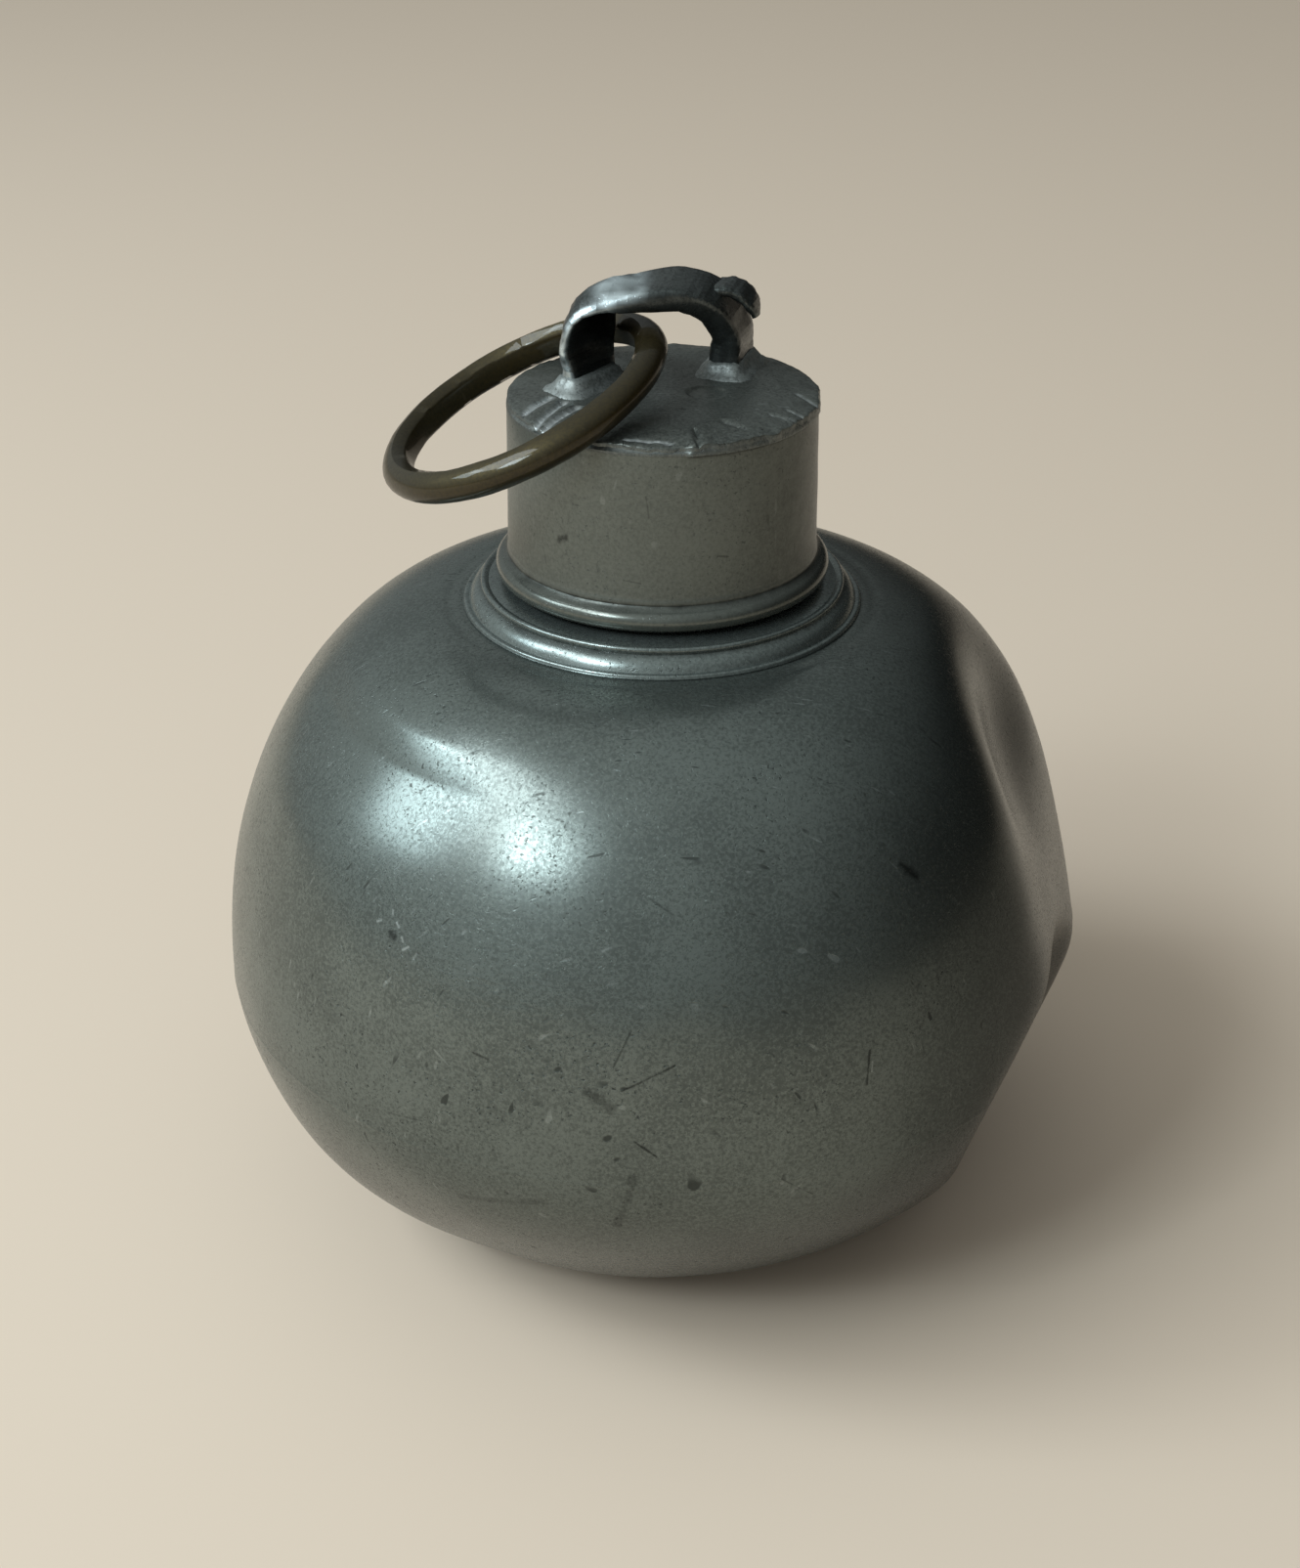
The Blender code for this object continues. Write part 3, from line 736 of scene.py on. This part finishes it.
def strap_frame(stations, i):
    """Middle of the strap at a station, with half its width across and half its thickness inwards."""
    x, y, z, turn, width, thick = stations[i]
    dip = STRAP_DIP * smoothstep(FOOT_Z + STRAP_FOOT_H, STRAP_TOP, z)
    a = radians(turn)
    across = Vector((-sin(a) * cos(dip), -cos(a) * cos(dip), -sin(dip)))
    along = direction(stations, i)
    if i < 2 or i > len(stations) - 3:
        along = Vector((0.0, 0.0, 1.0 if i < 2 else -1.0))
    inward = along.cross(across).normalized()
    return Vector((x, y, z)), across * 0.5 * width, inward * 0.5 * thick


def strap_section():
    """Rounded bar as (across, inward) in half sizes, front edge first."""
    section = []
    for side in (1.0, -1.0):
        for k in range(7):
            a = radians(-90.0 + 30.0 * k)
            section.append((side * (0.86 + 0.14 * cos(a)), side * sin(a)))
        section += [(side * t, side) for t in (0.6, 0.3, 0.0, -0.3, -0.6)]
    return section


def strap_highlight(p, a, b, left):
    """Painted highlight on the strap's front rim on the left and on a place on its top."""
    rim = smoothstep(0.84, 1.0, a) * (0.12 + 0.88 * left)
    top_highlight = smoothstep(0.0, -0.6, b) * smoothstep(-9.5, -6.5, p.x) * (1.0 - smoothstep(-4.5, -0.5, p.x))
    return max(0.0, max(rim, 1.2 * top_highlight) * (0.6 + 0.9 * noise.noise(p * 1.1)))


def strap_painted_shade(p, a, b, left, leaf):
    """Share of painted shade in the leaf's hollow, on the arch's front face and on the right leg."""
    in_leaf = leaf * smoothstep(0.2, 0.8, b) * (1.0 - smoothstep(0.6, 0.95, abs(a)))
    front_face = (1.0 - left) * smoothstep(0.84, 0.95, a) * smoothstep(-0.9, -0.4, b)
    right_leg = smoothstep(4.5, 7.5, p.x) * smoothstep(124.0, 121.0, p.z)
    return max(0.75 * in_leaf, 0.65 * front_face, 0.55 * right_leg)


def make_loop(material):
    """The strap drawn along its stations; the left leg is beaten hollow like a leaf."""
    stations = strap_stations()
    section = strap_section()
    bm = bmesh.new()
    index = bm.verts.layers.int.new("index")
    # Painted highlight on the strap's front rim and top
    wear_and_highlight = bm.verts.layers.float.new("wear_and_highlight")
    # Painted shade in the leaf's hollow, on the arch's front face and on the right leg
    painted_shade = bm.verts.layers.float.new("painted_shade")

    def place(v, i):
        a, b = section[v[index]]
        middle, across, inward = strap_frame(stations, i)
        left = smoothstep(-2.0, -6.5, stations[i][0])
        leaf = left * smoothstep(FOOT_Z, FOOT_Z + 2.5, stations[i][2])
        spread = a * (1.0 + LEAF_SPREAD * leaf) if a < 0.0 else a
        thin = 1.0 - LEAF_THIN * leaf * a * a
        hollow = -LEAF_HOLLOW * leaf * (1.0 - a * a)
        p = middle + across * spread + inward * b * thin + inward.normalized() * hollow
        rough = 0.12 * noise.noise(p * 0.6) + 0.07 * noise.noise(p * 1.7)
        v.co = (p + (across.normalized() * 0.6 + inward.normalized() * b) * rough) * MM
        v[wear_and_highlight] = strap_highlight(p, a, b, left)
        v[painted_shade] = strap_painted_shade(p, a, b, left, leaf)

    ring = []
    for k in range(len(section)):
        v = bm.verts.new()
        v[index] = k
        ring.append(v)
    face = bm.faces.new(ring)
    for i in range(len(stations)):
        if i:
            face = draw_on(bm, face, i == 1)
        for v in face.verts:
            place(v, i)
    return finish_piece("loop_strap", bm, material, "cap", ["cap_loop"], sharp=50.0)


def squared(value):
    """Sine or cosine that lingers near its ends, for a section between round and square."""
    return abs(value) ** 0.55 * (1.0 if value > 0.0 else -1.0)


def make_strap_end(material):
    bm = bmesh.new()
    bmesh.ops.create_circle(bm, cap_ends=True, segments=STRAP_END_SIDES, radius=1.0)
    face = bm.faces[:][0]
    angle = bm.verts.layers.float.new("angle")
    for v in bm.verts:
        v[angle] = atan2(v.co.y, v.co.x)
    points = [STRAP_END[0], *STRAP_END, STRAP_END[-1]]
    rows = []
    for i in range(1, len(points) - 2):
        rows += [catmull(*points[i - 1:i + 3], k / STRAP_END_STEPS) for k in range(STRAP_END_STEPS)]
    rows.append(STRAP_END[-1])
    for i, (x, y, z, half_w, half_t) in enumerate(rows):
        up = direction(rows, i).cross(STRAP_END_ACROSS).normalized()
        if i:
            face = draw_on(bm, face, i == 1)
        for v in face.verts:
            wide, tall = half_w * squared(cos(v[angle])), half_t * squared(sin(v[angle]))
            p = Vector((x, y, z)) + STRAP_END_ACROSS * wide + up * tall
            v.co = (p + up * 0.18 * noise.noise(p * 1.2)) * MM
    return finish_piece("strap_end", bm, material, "cap", [], sharp=50.0)


def solder_point(a, grow, height, half_w, half_t, seed):
    """Point of a lumpy solder ring round a foot, level with the plate, and its rise over the plate."""
    square = (abs(cos(a)) ** 5 + abs(sin(a)) ** 5) ** -0.2
    lump = 1.0 + 0.25 * noise.noise(Vector((cos(a) * 2.1, sin(a) * 2.1, 0.2 * grow + seed)))
    reach = grow * lump
    p = Vector(((half_w + reach) * cos(a) * square, (half_t + reach) * sin(a) * square, 0.0))
    return p, height * lump


def make_foot_solder(name, node, material, at_left):
    """Lumpy fillet of solder run round one foot of the loop."""
    stations = strap_stations()
    middle, across, inward = strap_frame(stations, 0 if at_left else len(stations) - 1)
    foot = Vector((middle.x, middle.y, PLATE_TOP))
    turn = Matrix.Rotation(atan2(across.y, across.x), 3, "Z")
    seed = 0.0 if at_left else 5.0
    bm = bmesh.new()
    bmesh.ops.create_circle(bm, segments=SOLDER_STEPS, radius=1.0)
    edges = bm.edges[:]
    for _ in SOLDER_RINGS[1:]:
        made = bmesh.ops.extrude_edge_only(bm, edges=edges)["geom"]
        raised = [g for g in made if isinstance(g, bmesh.types.BMVert)]
        bmesh.ops.translate(bm, vec=(0, 0, 1), verts=raised)
        edges = [g for g in made if isinstance(g, bmesh.types.BMEdge) and all(v in raised for v in g.verts)]
    bmesh.ops.holes_fill(bm, edges=bm.edges, sides=0)
    for v in bm.verts:
        grow, height = SOLDER_RINGS[round(v.co.z)]
        p, rise = solder_point(atan2(v.co.y, v.co.x), grow, height, across.length, inward.length, seed)
        p = turn @ p + foot
        p.z += rise
        p += Vector((1.0, 1.0, 1.0)) * (0.16 * noise.noise(p * 1.3) + 0.06 * noise.noise(p * 3.1))
        v.co = p * MM
    return finish_piece(name, bm, material, "cap", [node], sharp=70.0)


# Ring

def bar_section():
    """Outline of the ring's bar as (radial, axial): nearly flat inside, round outside."""
    inner = ((0.1, -0.62), (0.0, -0.5), (-0.02, 0.0), (0.0, 0.5), (0.1, 0.62))
    section = [(-BAR_HALF_T + u, v * BAR_HALF_W) for u, v in inner]
    for i in range(1, 14):
        a = pi * i / 14
        section.append((-BAR_HALF_T * 0.55 + 1.55 * BAR_HALF_T * sin(a), 0.98 * BAR_HALF_W * cos(a)))
    return section


def make_ring(material):
    axis = Vector((-sin(RING_TURN), cos(RING_TURN), 0.0))
    level = Vector((-cos(RING_TURN), -sin(RING_TURN), 0.0))
    downhill = level * cos(RING_SLOPE) - Vector((0.0, 0.0, sin(RING_SLOPE)))
    normal = axis.cross(downhill).normalized()
    centre = RING_PIVOT + downhill * RING_R
    bm = bmesh.new()
    verts = [bm.verts.new((centre + downhill * (RING_R + u) + normal * v) * MM) for u, v in bar_section()]
    edges = [bm.edges.new(pair) for pair in zip(verts, verts[1:] + verts[:1])]
    bmesh.ops.spin(bm, geom=verts + edges, cent=centre * MM, axis=normal, dvec=(0, 0, 0),
                   angle=2.0 * pi, steps=RING_STEPS, use_merge=True)
    for v in bm.verts:
        p = v.co / MM
        spoke = p - centre
        spoke -= normal * spoke.dot(normal)
        middle = centre + spoke.normalized() * RING_R
        swell = 1.0 + 0.035 * noise.noise(middle * 0.22) + 0.012 * noise.noise(p * 0.9)
        v.co = (middle + (p - middle) * swell) * MM
    return finish_piece("brass_ring", bm, material, "ring", ["carry_ring"])


# Materials

def plug(tree, node, inputs):
    """Links a node's inputs to sockets, or sets them to values."""
    for key, value in inputs.items():
        if isinstance(value, bpy.types.NodeSocket):
            tree.links.new(value, node.inputs[key])
        else:
            node.inputs[key].default_value = value
    return node


def add(tree, kind, inputs=None, **settings):
    made = tree.nodes.new(kind)
    for key, value in settings.items():
        setattr(made, key, value)
    return plug(tree, made, inputs or {})


def new_group(name, inputs, outputs):
    tree = bpy.data.node_groups.new(name, "ShaderNodeTree")
    for kind, label, default in inputs:
        socket = tree.interface.new_socket(label, in_out="INPUT", socket_type="NodeSocket" + kind)
        socket.default_value = default
    for kind, label in outputs:
        tree.interface.new_socket(label, in_out="OUTPUT", socket_type="NodeSocket" + kind)
    return tree, tree.nodes.new("NodeGroupInput"), tree.nodes.new("NodeGroupOutput")


def new_material(name):
    mat = bpy.data.materials.new(name)
    mat.use_nodes = True
    return mat, mat.node_tree, mat.node_tree.nodes["Principled BSDF"]


def calc(tree, operation, a, b=0.0, c=0.0, clamp=False):
    return add(tree, "ShaderNodeMath", {0: a, 1: b, 2: c}, operation=operation, use_clamp=clamp).outputs[0]


def weighed(tree, total, parts):
    """A value with weighted parts added to it, one after the other."""
    for value, weight in parts:
        total = calc(tree, "MULTIPLY_ADD", value, weight, total)
    return total


def ramp(tree, value, lo, hi):
    """0 below lo, 1 above hi, smooth between."""
    node = add(tree, "ShaderNodeMapRange", {"Value": value, "From Min": lo, "From Max": hi},
               interpolation_type="SMOOTHSTEP")
    return node.outputs["Result"]


def mix_colour(tree, share, a, b):
    return add(tree, "ShaderNodeMix", {0: share, 6: a, 7: b}, data_type="RGBA").outputs[2]


def cloud(tree, place, scale, detail=3.0, roughness=0.55):
    return add(tree, "ShaderNodeTexNoise", {"Vector": place, "Scale": scale, "Detail": detail,
                                            "Roughness": roughness}).outputs["Fac"]


def stretched(tree, place, scale, turn=(0.0, 0.0, 0.0)):
    """The place scaled and then turned, so that a cloud on it is drawn out along the axes scaled down."""
    node = add(tree, "ShaderNodeMapping", {"Vector": place, "Rotation": turn, "Scale": scale})
    return node.outputs["Vector"]


def painted(tree, name):
    """A share that the mesh carries under this name, 0 where it has none."""
    return add(tree, "ShaderNodeAttribute", attribute_name=name).outputs["Fac"]


def stroke_group():
    """Share of one stroke between two points, ragged at its edge."""
    tree, inside, outside = new_group("stroke", (
        ("Vector", "Place", (0.0, 0.0, 0.0)),
        ("Vector", "Start", (0.0, 0.0, 0.0)),
        ("Vector", "Run", (0.0, 0.0, 1.0)),
        ("Float", "Half", 0.001),
        ("Float", "Ragged", 0.5),
    ), (("Float", "Share"),))

    def vector_calc(operation, a, b, output="Vector"):
        return add(tree, "ShaderNodeVectorMath", {0: a, 1: b}, operation=operation).outputs[output]

    run = inside.outputs["Run"]
    way = vector_calc("SUBTRACT", inside.outputs["Place"], inside.outputs["Start"])
    along = calc(tree, "DIVIDE", vector_calc("DOT_PRODUCT", way, run, "Value"),
                 vector_calc("DOT_PRODUCT", run, run, "Value"), clamp=True)
    nearest = add(tree, "ShaderNodeVectorMath", {0: run, "Scale": along}, operation="SCALE").outputs["Vector"]
    away = vector_calc("DISTANCE", way, nearest, "Value")
    share = calc(tree, "SUBTRACT", 1.55, calc(tree, "DIVIDE", away, inside.outputs["Half"]))
    share = calc(tree, "SUBTRACT", share, inside.outputs["Ragged"])
    tree.links.new(ramp(tree, share, 0.0, 0.9), outside.inputs["Share"])
    return tree


def tarnish_share(tree, place, mottle):
    """Fine mottle over broad clouds."""
    fine = cloud(tree, place, 2400.0, 3.0, 0.7)
    broad = cloud(tree, place, 60.0, 5.0, 0.6)
    both = calc(tree, "MULTIPLY_ADD", fine, 0.66, calc(tree, "MULTIPLY", broad, 0.34))
    return calc(tree, "MULTIPLY", ramp(tree, both, 0.40, 0.62), mottle)


def pit_share(tree, place, pits):
    """Dark pits that crowd together in places."""
    pit = ramp(tree, cloud(tree, place, 2300.0, 2.0, 0.6), 0.62, 0.69)
    crowd = ramp(tree, cloud(tree, place, 70.0, 3.0), 0.40, 0.64)
    pit = calc(tree, "MULTIPLY", pit, calc(tree, "MULTIPLY_ADD", crowd, 0.7, 0.3))
    return calc(tree, "MULTIPLY", pit, pits, clamp=True)


def dash_share(tree, place, ways):
    """Short straight dashes in several directions, broken up by clouds."""
    dashes = None
    for turn, scale in ways:
        turned = stretched(tree, place, (0.16, 1.0, 0.16), turn)
        thin = ramp(tree, cloud(tree, turned, scale, 0.0), 0.77, 0.82)
        broken = ramp(tree, cloud(tree, place, 160.0 + scale * 0.02, 1.0), 0.52, 0.66)
        dash = calc(tree, "MULTIPLY", thin, broken)
        dashes = dash if dashes is None else calc(tree, "MAXIMUM", dashes, dash)
    return dashes


# Directions and scales of the dark dashes and of the bright scratches
DARK_WAYS = (((0.4, 0.9, 0.2), 2300.0), ((1.3, -0.5, 0.8), 2700.0))
BRIGHT_WAYS = (((-0.7, 0.3, 1.9), 2500.0), ((0.9, 1.6, -0.6), 2900.0))
BRIGHT_SCRATCHES = 0.32
# Near black colour of the painted shade that the meshes carry
PAINTED_SHADE_COLOUR = (0.012, 0.013, 0.012, 1.0)
MARK_DARK = 0.3  # how much of the tarnish's colour a dark mark keeps


def relief(tree, place, speck, scratch_and_highlight, grain):
    """Height of the surface: ripple and grain, sunk where it is pitted or scratched, and creased."""
    ripple = cloud(tree, stretched(tree, place, (0.35, 0.35, 1.0)), 1100.0, 1.0)
    creases = cloud(tree, stretched(tree, place, (0.30, 0.30, 1.0), (0.3, 0.5, 0.2)), 1300.0, 2.0, 0.5)
    creases = calc(tree, "MULTIPLY", creases, painted(tree, "creased"))
    return weighed(tree, calc(tree, "MULTIPLY", ripple, 0.10),
                   ((speck, -0.4), (scratch_and_highlight, -0.5), (grain, 0.02), (creases, 0.65)))


def worn_metal_group():
    """Mottle, pits, short dashes and fine scratches of old handled metal, with the painted shade and painted
    highlights that the mesh carries.
    """
    tree, inside, outside = new_group("worn_metal", (
        ("Color", "Metal", (0.3, 0.3, 0.3, 1.0)),
        ("Color", "Tarnish", (0.1, 0.1, 0.1, 1.0)),
        ("Color", "Bright", (0.5, 0.5, 0.5, 1.0)),
        ("Float", "Mottle", 0.5),
        ("Float", "Pits", 0.5),
        ("Float", "Scratches", 0.5),
        ("Float", "Gloss", 0.4),
    ), (("Color", "Color"), ("Float", "Roughness"), ("Float", "Height")))
    given = inside.outputs
    place = add(tree, "ShaderNodeTexCoord").outputs["Object"]
    grain = cloud(tree, place, 3600.0, 2.0, 0.5)
    tarnish = tarnish_share(tree, place, given["Mottle"])
    dark_dash = calc(tree, "MULTIPLY", dash_share(tree, place, DARK_WAYS), given["Scratches"], clamp=True)
    speck = calc(tree, "MAXIMUM", pit_share(tree, place, given["Pits"]), dark_dash)
    scratch_and_highlight = calc(tree, "MULTIPLY", dash_share(tree, place, BRIGHT_WAYS),
                   calc(tree, "MULTIPLY", given["Scratches"], BRIGHT_SCRATCHES), clamp=True)
    # Painted highlight: the bright share that the mesh carries, on the strap's rim and top and in the plate's
    # tool cuts
    scratch_and_highlight = calc(tree, "MAXIMUM", scratch_and_highlight, painted(tree, "wear_and_highlight"))

    colour = mix_colour(tree, tarnish, given["Metal"], given["Tarnish"])
    colour = mix_colour(tree, speck, colour, given["Tarnish"])
    colour = mix_colour(tree, scratch_and_highlight, colour, given["Bright"])
    # Painted shade: where the mesh carries a share of it, the colour turns near black
    colour = mix_colour(tree, painted(tree, "painted_shade"), colour, PAINTED_SHADE_COLOUR)
    uneven = calc(tree, "SUBTRACT", grain, 0.5)
    rough = weighed(tree, given["Gloss"], ((painted(tree, "polish"), -0.15), (tarnish, 0.10), (uneven, 0.10),
                                           (speck, 0.15)))
    height = relief(tree, place, speck, scratch_and_highlight, grain)
    plug(tree, outside, {"Color": colour, "Roughness": rough, "Height": height})
    return tree


STROKE = stroke_group()
WORN_METAL = worn_metal_group()


def cap_point(angle, height):
    """Point of the cap's wall at a plan angle and a height."""
    r = CAP_LOW_R + (CAP_R - CAP_LOW_R) * (height - BEAD_TOP) / (PLATE_UNDER - BEAD_TOP)
    return Vector((r * cos(radians(angle)), r * sin(radians(angle)), height))


def set_marks(rows, surface_point):
    """Rows of marks with their ends placed on a surface."""
    return [(surface_point(*row[0:2]), surface_point(*row[2:4]), row[4], row[5]) for row in rows]


def mark_share(tree, place, marks):
    """Strongest of several strokes at each point."""
    ragged = calc(tree, "MULTIPLY_ADD", cloud(tree, place, 750.0, 6.0, 0.8), 2.2, -0.45)
    share = None
    for start, end, half, strength in marks:
        given = {"Place": place, "Ragged": ragged, "Start": start * MM, "Run": (end - start) * MM,
                 "Half": half * MM}
        stroke = add(tree, "ShaderNodeGroup", given, node_tree=STROKE)
        stroke = calc(tree, "MULTIPLY", stroke.outputs["Share"], strength)
        share = stroke if share is None else calc(tree, "MAXIMUM", share, stroke)
    return share


def marked(tree, colour, marks, dark, bright):
    """The colour with dark and bright marks drawn over it."""
    place = add(tree, "ShaderNodeTexCoord").outputs["Object"]
    for sign, shade in ((-1.0, dark), (1.0, bright)):
        rows = [(start, end, half, sign * depth) for start, end, half, depth in marks if sign * depth > 0.0]
        if rows:
            colour = mix_colour(tree, mark_share(tree, place, rows), colour, (*shade, 1.0))
    return colour


def metal(name, colours, mottle, pits, scratches, gloss, depth, marks=(), bare=0.65):
    """Worn metal from its own colour, its tarnish, and its bright scratches and painted highlights."""
    mat, tree, shader = new_material(name)
    given = {"Mottle": mottle, "Pits": pits, "Scratches": scratches, "Gloss": gloss}
    for label, value in zip(("Metal", "Tarnish", "Bright"), colours):
        given[label] = (*value, 1.0)
    wear_and_highlight = add(tree, "ShaderNodeGroup", given, node_tree=WORN_METAL).outputs
    colour = wear_and_highlight["Color"]
    if marks:
        colour = marked(tree, colour, marks, tuple(MARK_DARK * c for c in colours[1]), colours[2])
    bump = add(tree, "ShaderNodeBump", {"Height": wear_and_highlight["Height"], "Strength": 0.6, "Distance": depth})
    plug(tree, shader, {"Base Color": colour, "Metallic": bare, "Roughness": wear_and_highlight["Roughness"],
                        "Normal": bump.outputs["Normal"]})
    return mat


def oiled(mat, weight, roughness):
    """A thin film over old brass, which keeps its highlights white."""
    tree = mat.node_tree
    plug(tree, tree.nodes["Principled BSDF"], {"Coat Weight": weight, "Coat Roughness": roughness})
    return mat


def cork():
    mat, tree, shader = new_material("cork")
    place = add(tree, "ShaderNodeTexCoord").outputs["Object"]
    cell = add(tree, "ShaderNodeTexVoronoi", {"Vector": place, "Scale": 700.0}).outputs["Distance"]
    dark = ramp(tree, cloud(tree, place, 450.0, 4.0, 0.6), 0.55, 0.68)
    colour = mix_colour(tree, dark, (0.46, 0.30, 0.17, 1.0), (0.20, 0.11, 0.05, 1.0))
    bump = add(tree, "ShaderNodeBump", {"Height": cell, "Strength": 0.5, "Distance": 0.0003})
    plug(tree, shader, {"Base Color": colour, "Roughness": 0.88, "Normal": bump.outputs["Normal"]})
    return mat


# Studio

def make_floor():
    mat, tree, shader = new_material("pale_floor")
    plug(tree, shader, {"Base Color": FLOOR_COLOUR, "Roughness": 0.75})
    bm = bmesh.new()
    bmesh.ops.create_grid(bm, x_segments=1, y_segments=1, size=6.0)
    floor = to_object("floor", bm, mat)


def make_lamp(name, azimuth, height, wide, tall, watts, colour):
    """A lamp that shines on the flask from a plan angle and a height angle."""
    lamp = bpy.data.lights.new(name, "AREA")
    lamp.shape = "RECTANGLE"
    lamp.size = wide
    lamp.size_y = tall
    lamp.energy = watts
    lamp.color = colour
    a, h = radians(azimuth), radians(height)
    way = Vector((cos(a) * cos(h), sin(a) * cos(h), sin(h)))
    obj = bpy.data.objects.new(name, lamp)
    obj.location = LAMP_AIM + way * LAMP_DISTANCE
    obj.rotation_euler = way.to_track_quat("Z", "Y").to_euler()
    bpy.context.scene.collection.objects.link(obj)


def make_sky():
    """A room that is bright on the window's side and dark on the other."""
    world = bpy.data.worlds.new("studio")
    world.use_nodes = True
    tree = world.node_tree
    way = add(tree, "ShaderNodeTexCoord").outputs["Generated"]
    towards = add(tree, "ShaderNodeVectorMath", {0: way, 1: SKY_WAY}, operation="DOT_PRODUCT")
    strength = add(tree, "ShaderNodeMapRange", {"Value": towards.outputs["Value"], "From Min": -0.40,
                                                "From Max": 0.8, "To Min": SKY_DARK, "To Max": SKY_BRIGHT})
    plug(tree, tree.nodes["Background"], {"Color": SKY_COLOUR, "Strength": strength.outputs["Result"]})
    bpy.context.scene.world = world


def make_studio():
    make_floor()
    for lamp in LAMPS:
        make_lamp(*lamp)
    make_sky()
    bpy.context.scene.view_settings.view_transform = "Standard"


def make_camera():
    data = bpy.data.cameras.new("camera")
    data.sensor_width = SENSOR
    data.lens = SENSOR * FOCAL_PIXELS / FRAME_PIXELS
    data.clip_start = 0.01
    data.clip_end = 50.0
    camera = bpy.data.objects.new("camera", data)
    camera.location = CAMERA_AT * MM
    camera.rotation_euler = (radians(90.0 - CAMERA_DOWN), 0.0, 0.0)
    bpy.context.scene.collection.objects.link(camera)
    bpy.context.scene.camera = camera


def make_body():
    body = metal("pewter_body", ((0.152, 0.174, 0.162), (0.040, 0.046, 0.042), (0.40, 0.44, 0.43)),
                 mottle=0.55, pits=1.0, scratches=0.9, gloss=0.25, depth=0.00012,
                 marks=set_marks(WALL_MARKS, wall_point), bare=0.78)
    turned = metal("pewter_turned", ((0.195, 0.225, 0.215), (0.042, 0.048, 0.045), (0.5, 0.53, 0.52)),
                   mottle=0.45, pits=0.8, scratches=0.5, gloss=0.24, depth=0.00010, bare=0.78)
    make_bowl(body)
    make_shoulder(body)
    make_seam(body)
    make_neck(turned)
    helix(NECK_ROOT, NECK_CREST, COLLAR_TOP + 1.2, NECK_TOP - 0.8, "neck_thread", turned, "flask")


def make_cap():
    cap = metal("pewter_cap", ((0.135, 0.146, 0.130), (0.062, 0.067, 0.058), (0.34, 0.36, 0.34)),
                mottle=0.40, pits=0.8, scratches=0.5, gloss=0.36, depth=0.00008,
                marks=set_marks(CAP_MARKS, cap_point))
    # The plate's bright colour also paints the highlight in its tool cuts
    plate = metal("pewter_plate", ((0.115, 0.124, 0.112), (0.032, 0.035, 0.031), (0.5, 0.53, 0.53)),
                  mottle=0.7, pits=1.0, scratches=0.8, gloss=0.36, depth=0.00040)
    make_seal(cork())
    make_cap_wall(cap)
    helix(CAP_ROOT, CAP_CREST, CAP_FOOT + 0.8, CAP_TOP - 5.2, "cap_thread", cap, "cap")
    make_plate(plate)


def make_loop_and_ring():
    # The strap's bright colour also paints the highlight on its front rim and top
    strap = metal("pewter_strap", ((0.088, 0.100, 0.097), (0.018, 0.020, 0.019), (0.60, 0.68, 0.70)),
                  mottle=0.8, pits=0.7, scratches=0.4, gloss=0.28, depth=0.00020, bare=0.78)
    solder = metal("solder", ((0.24, 0.26, 0.25), (0.08, 0.086, 0.082), (0.55, 0.58, 0.57)),
                   mottle=0.7, pits=0.9, scratches=0.1, gloss=0.48, depth=0.00030)
    brass = metal("brass", ((0.040, 0.029, 0.008), (0.018, 0.0135, 0.0045), (0.20, 0.17, 0.10)),
                  mottle=0.6, pits=0.35, scratches=0.3, gloss=0.46, depth=0.00004, bare=0.8)
    brass = oiled(brass, 0.5, 0.05)
    make_loop(strap)
    make_strap_end(strap)
    make_foot_solder("solder_left", "loop_solder_left", solder, True)
    make_foot_solder("solder_right", "loop_solder_right", solder, False)
    make_ring(brass)


make_body()
make_cap()
make_loop_and_ring()
make_studio()
make_camera()
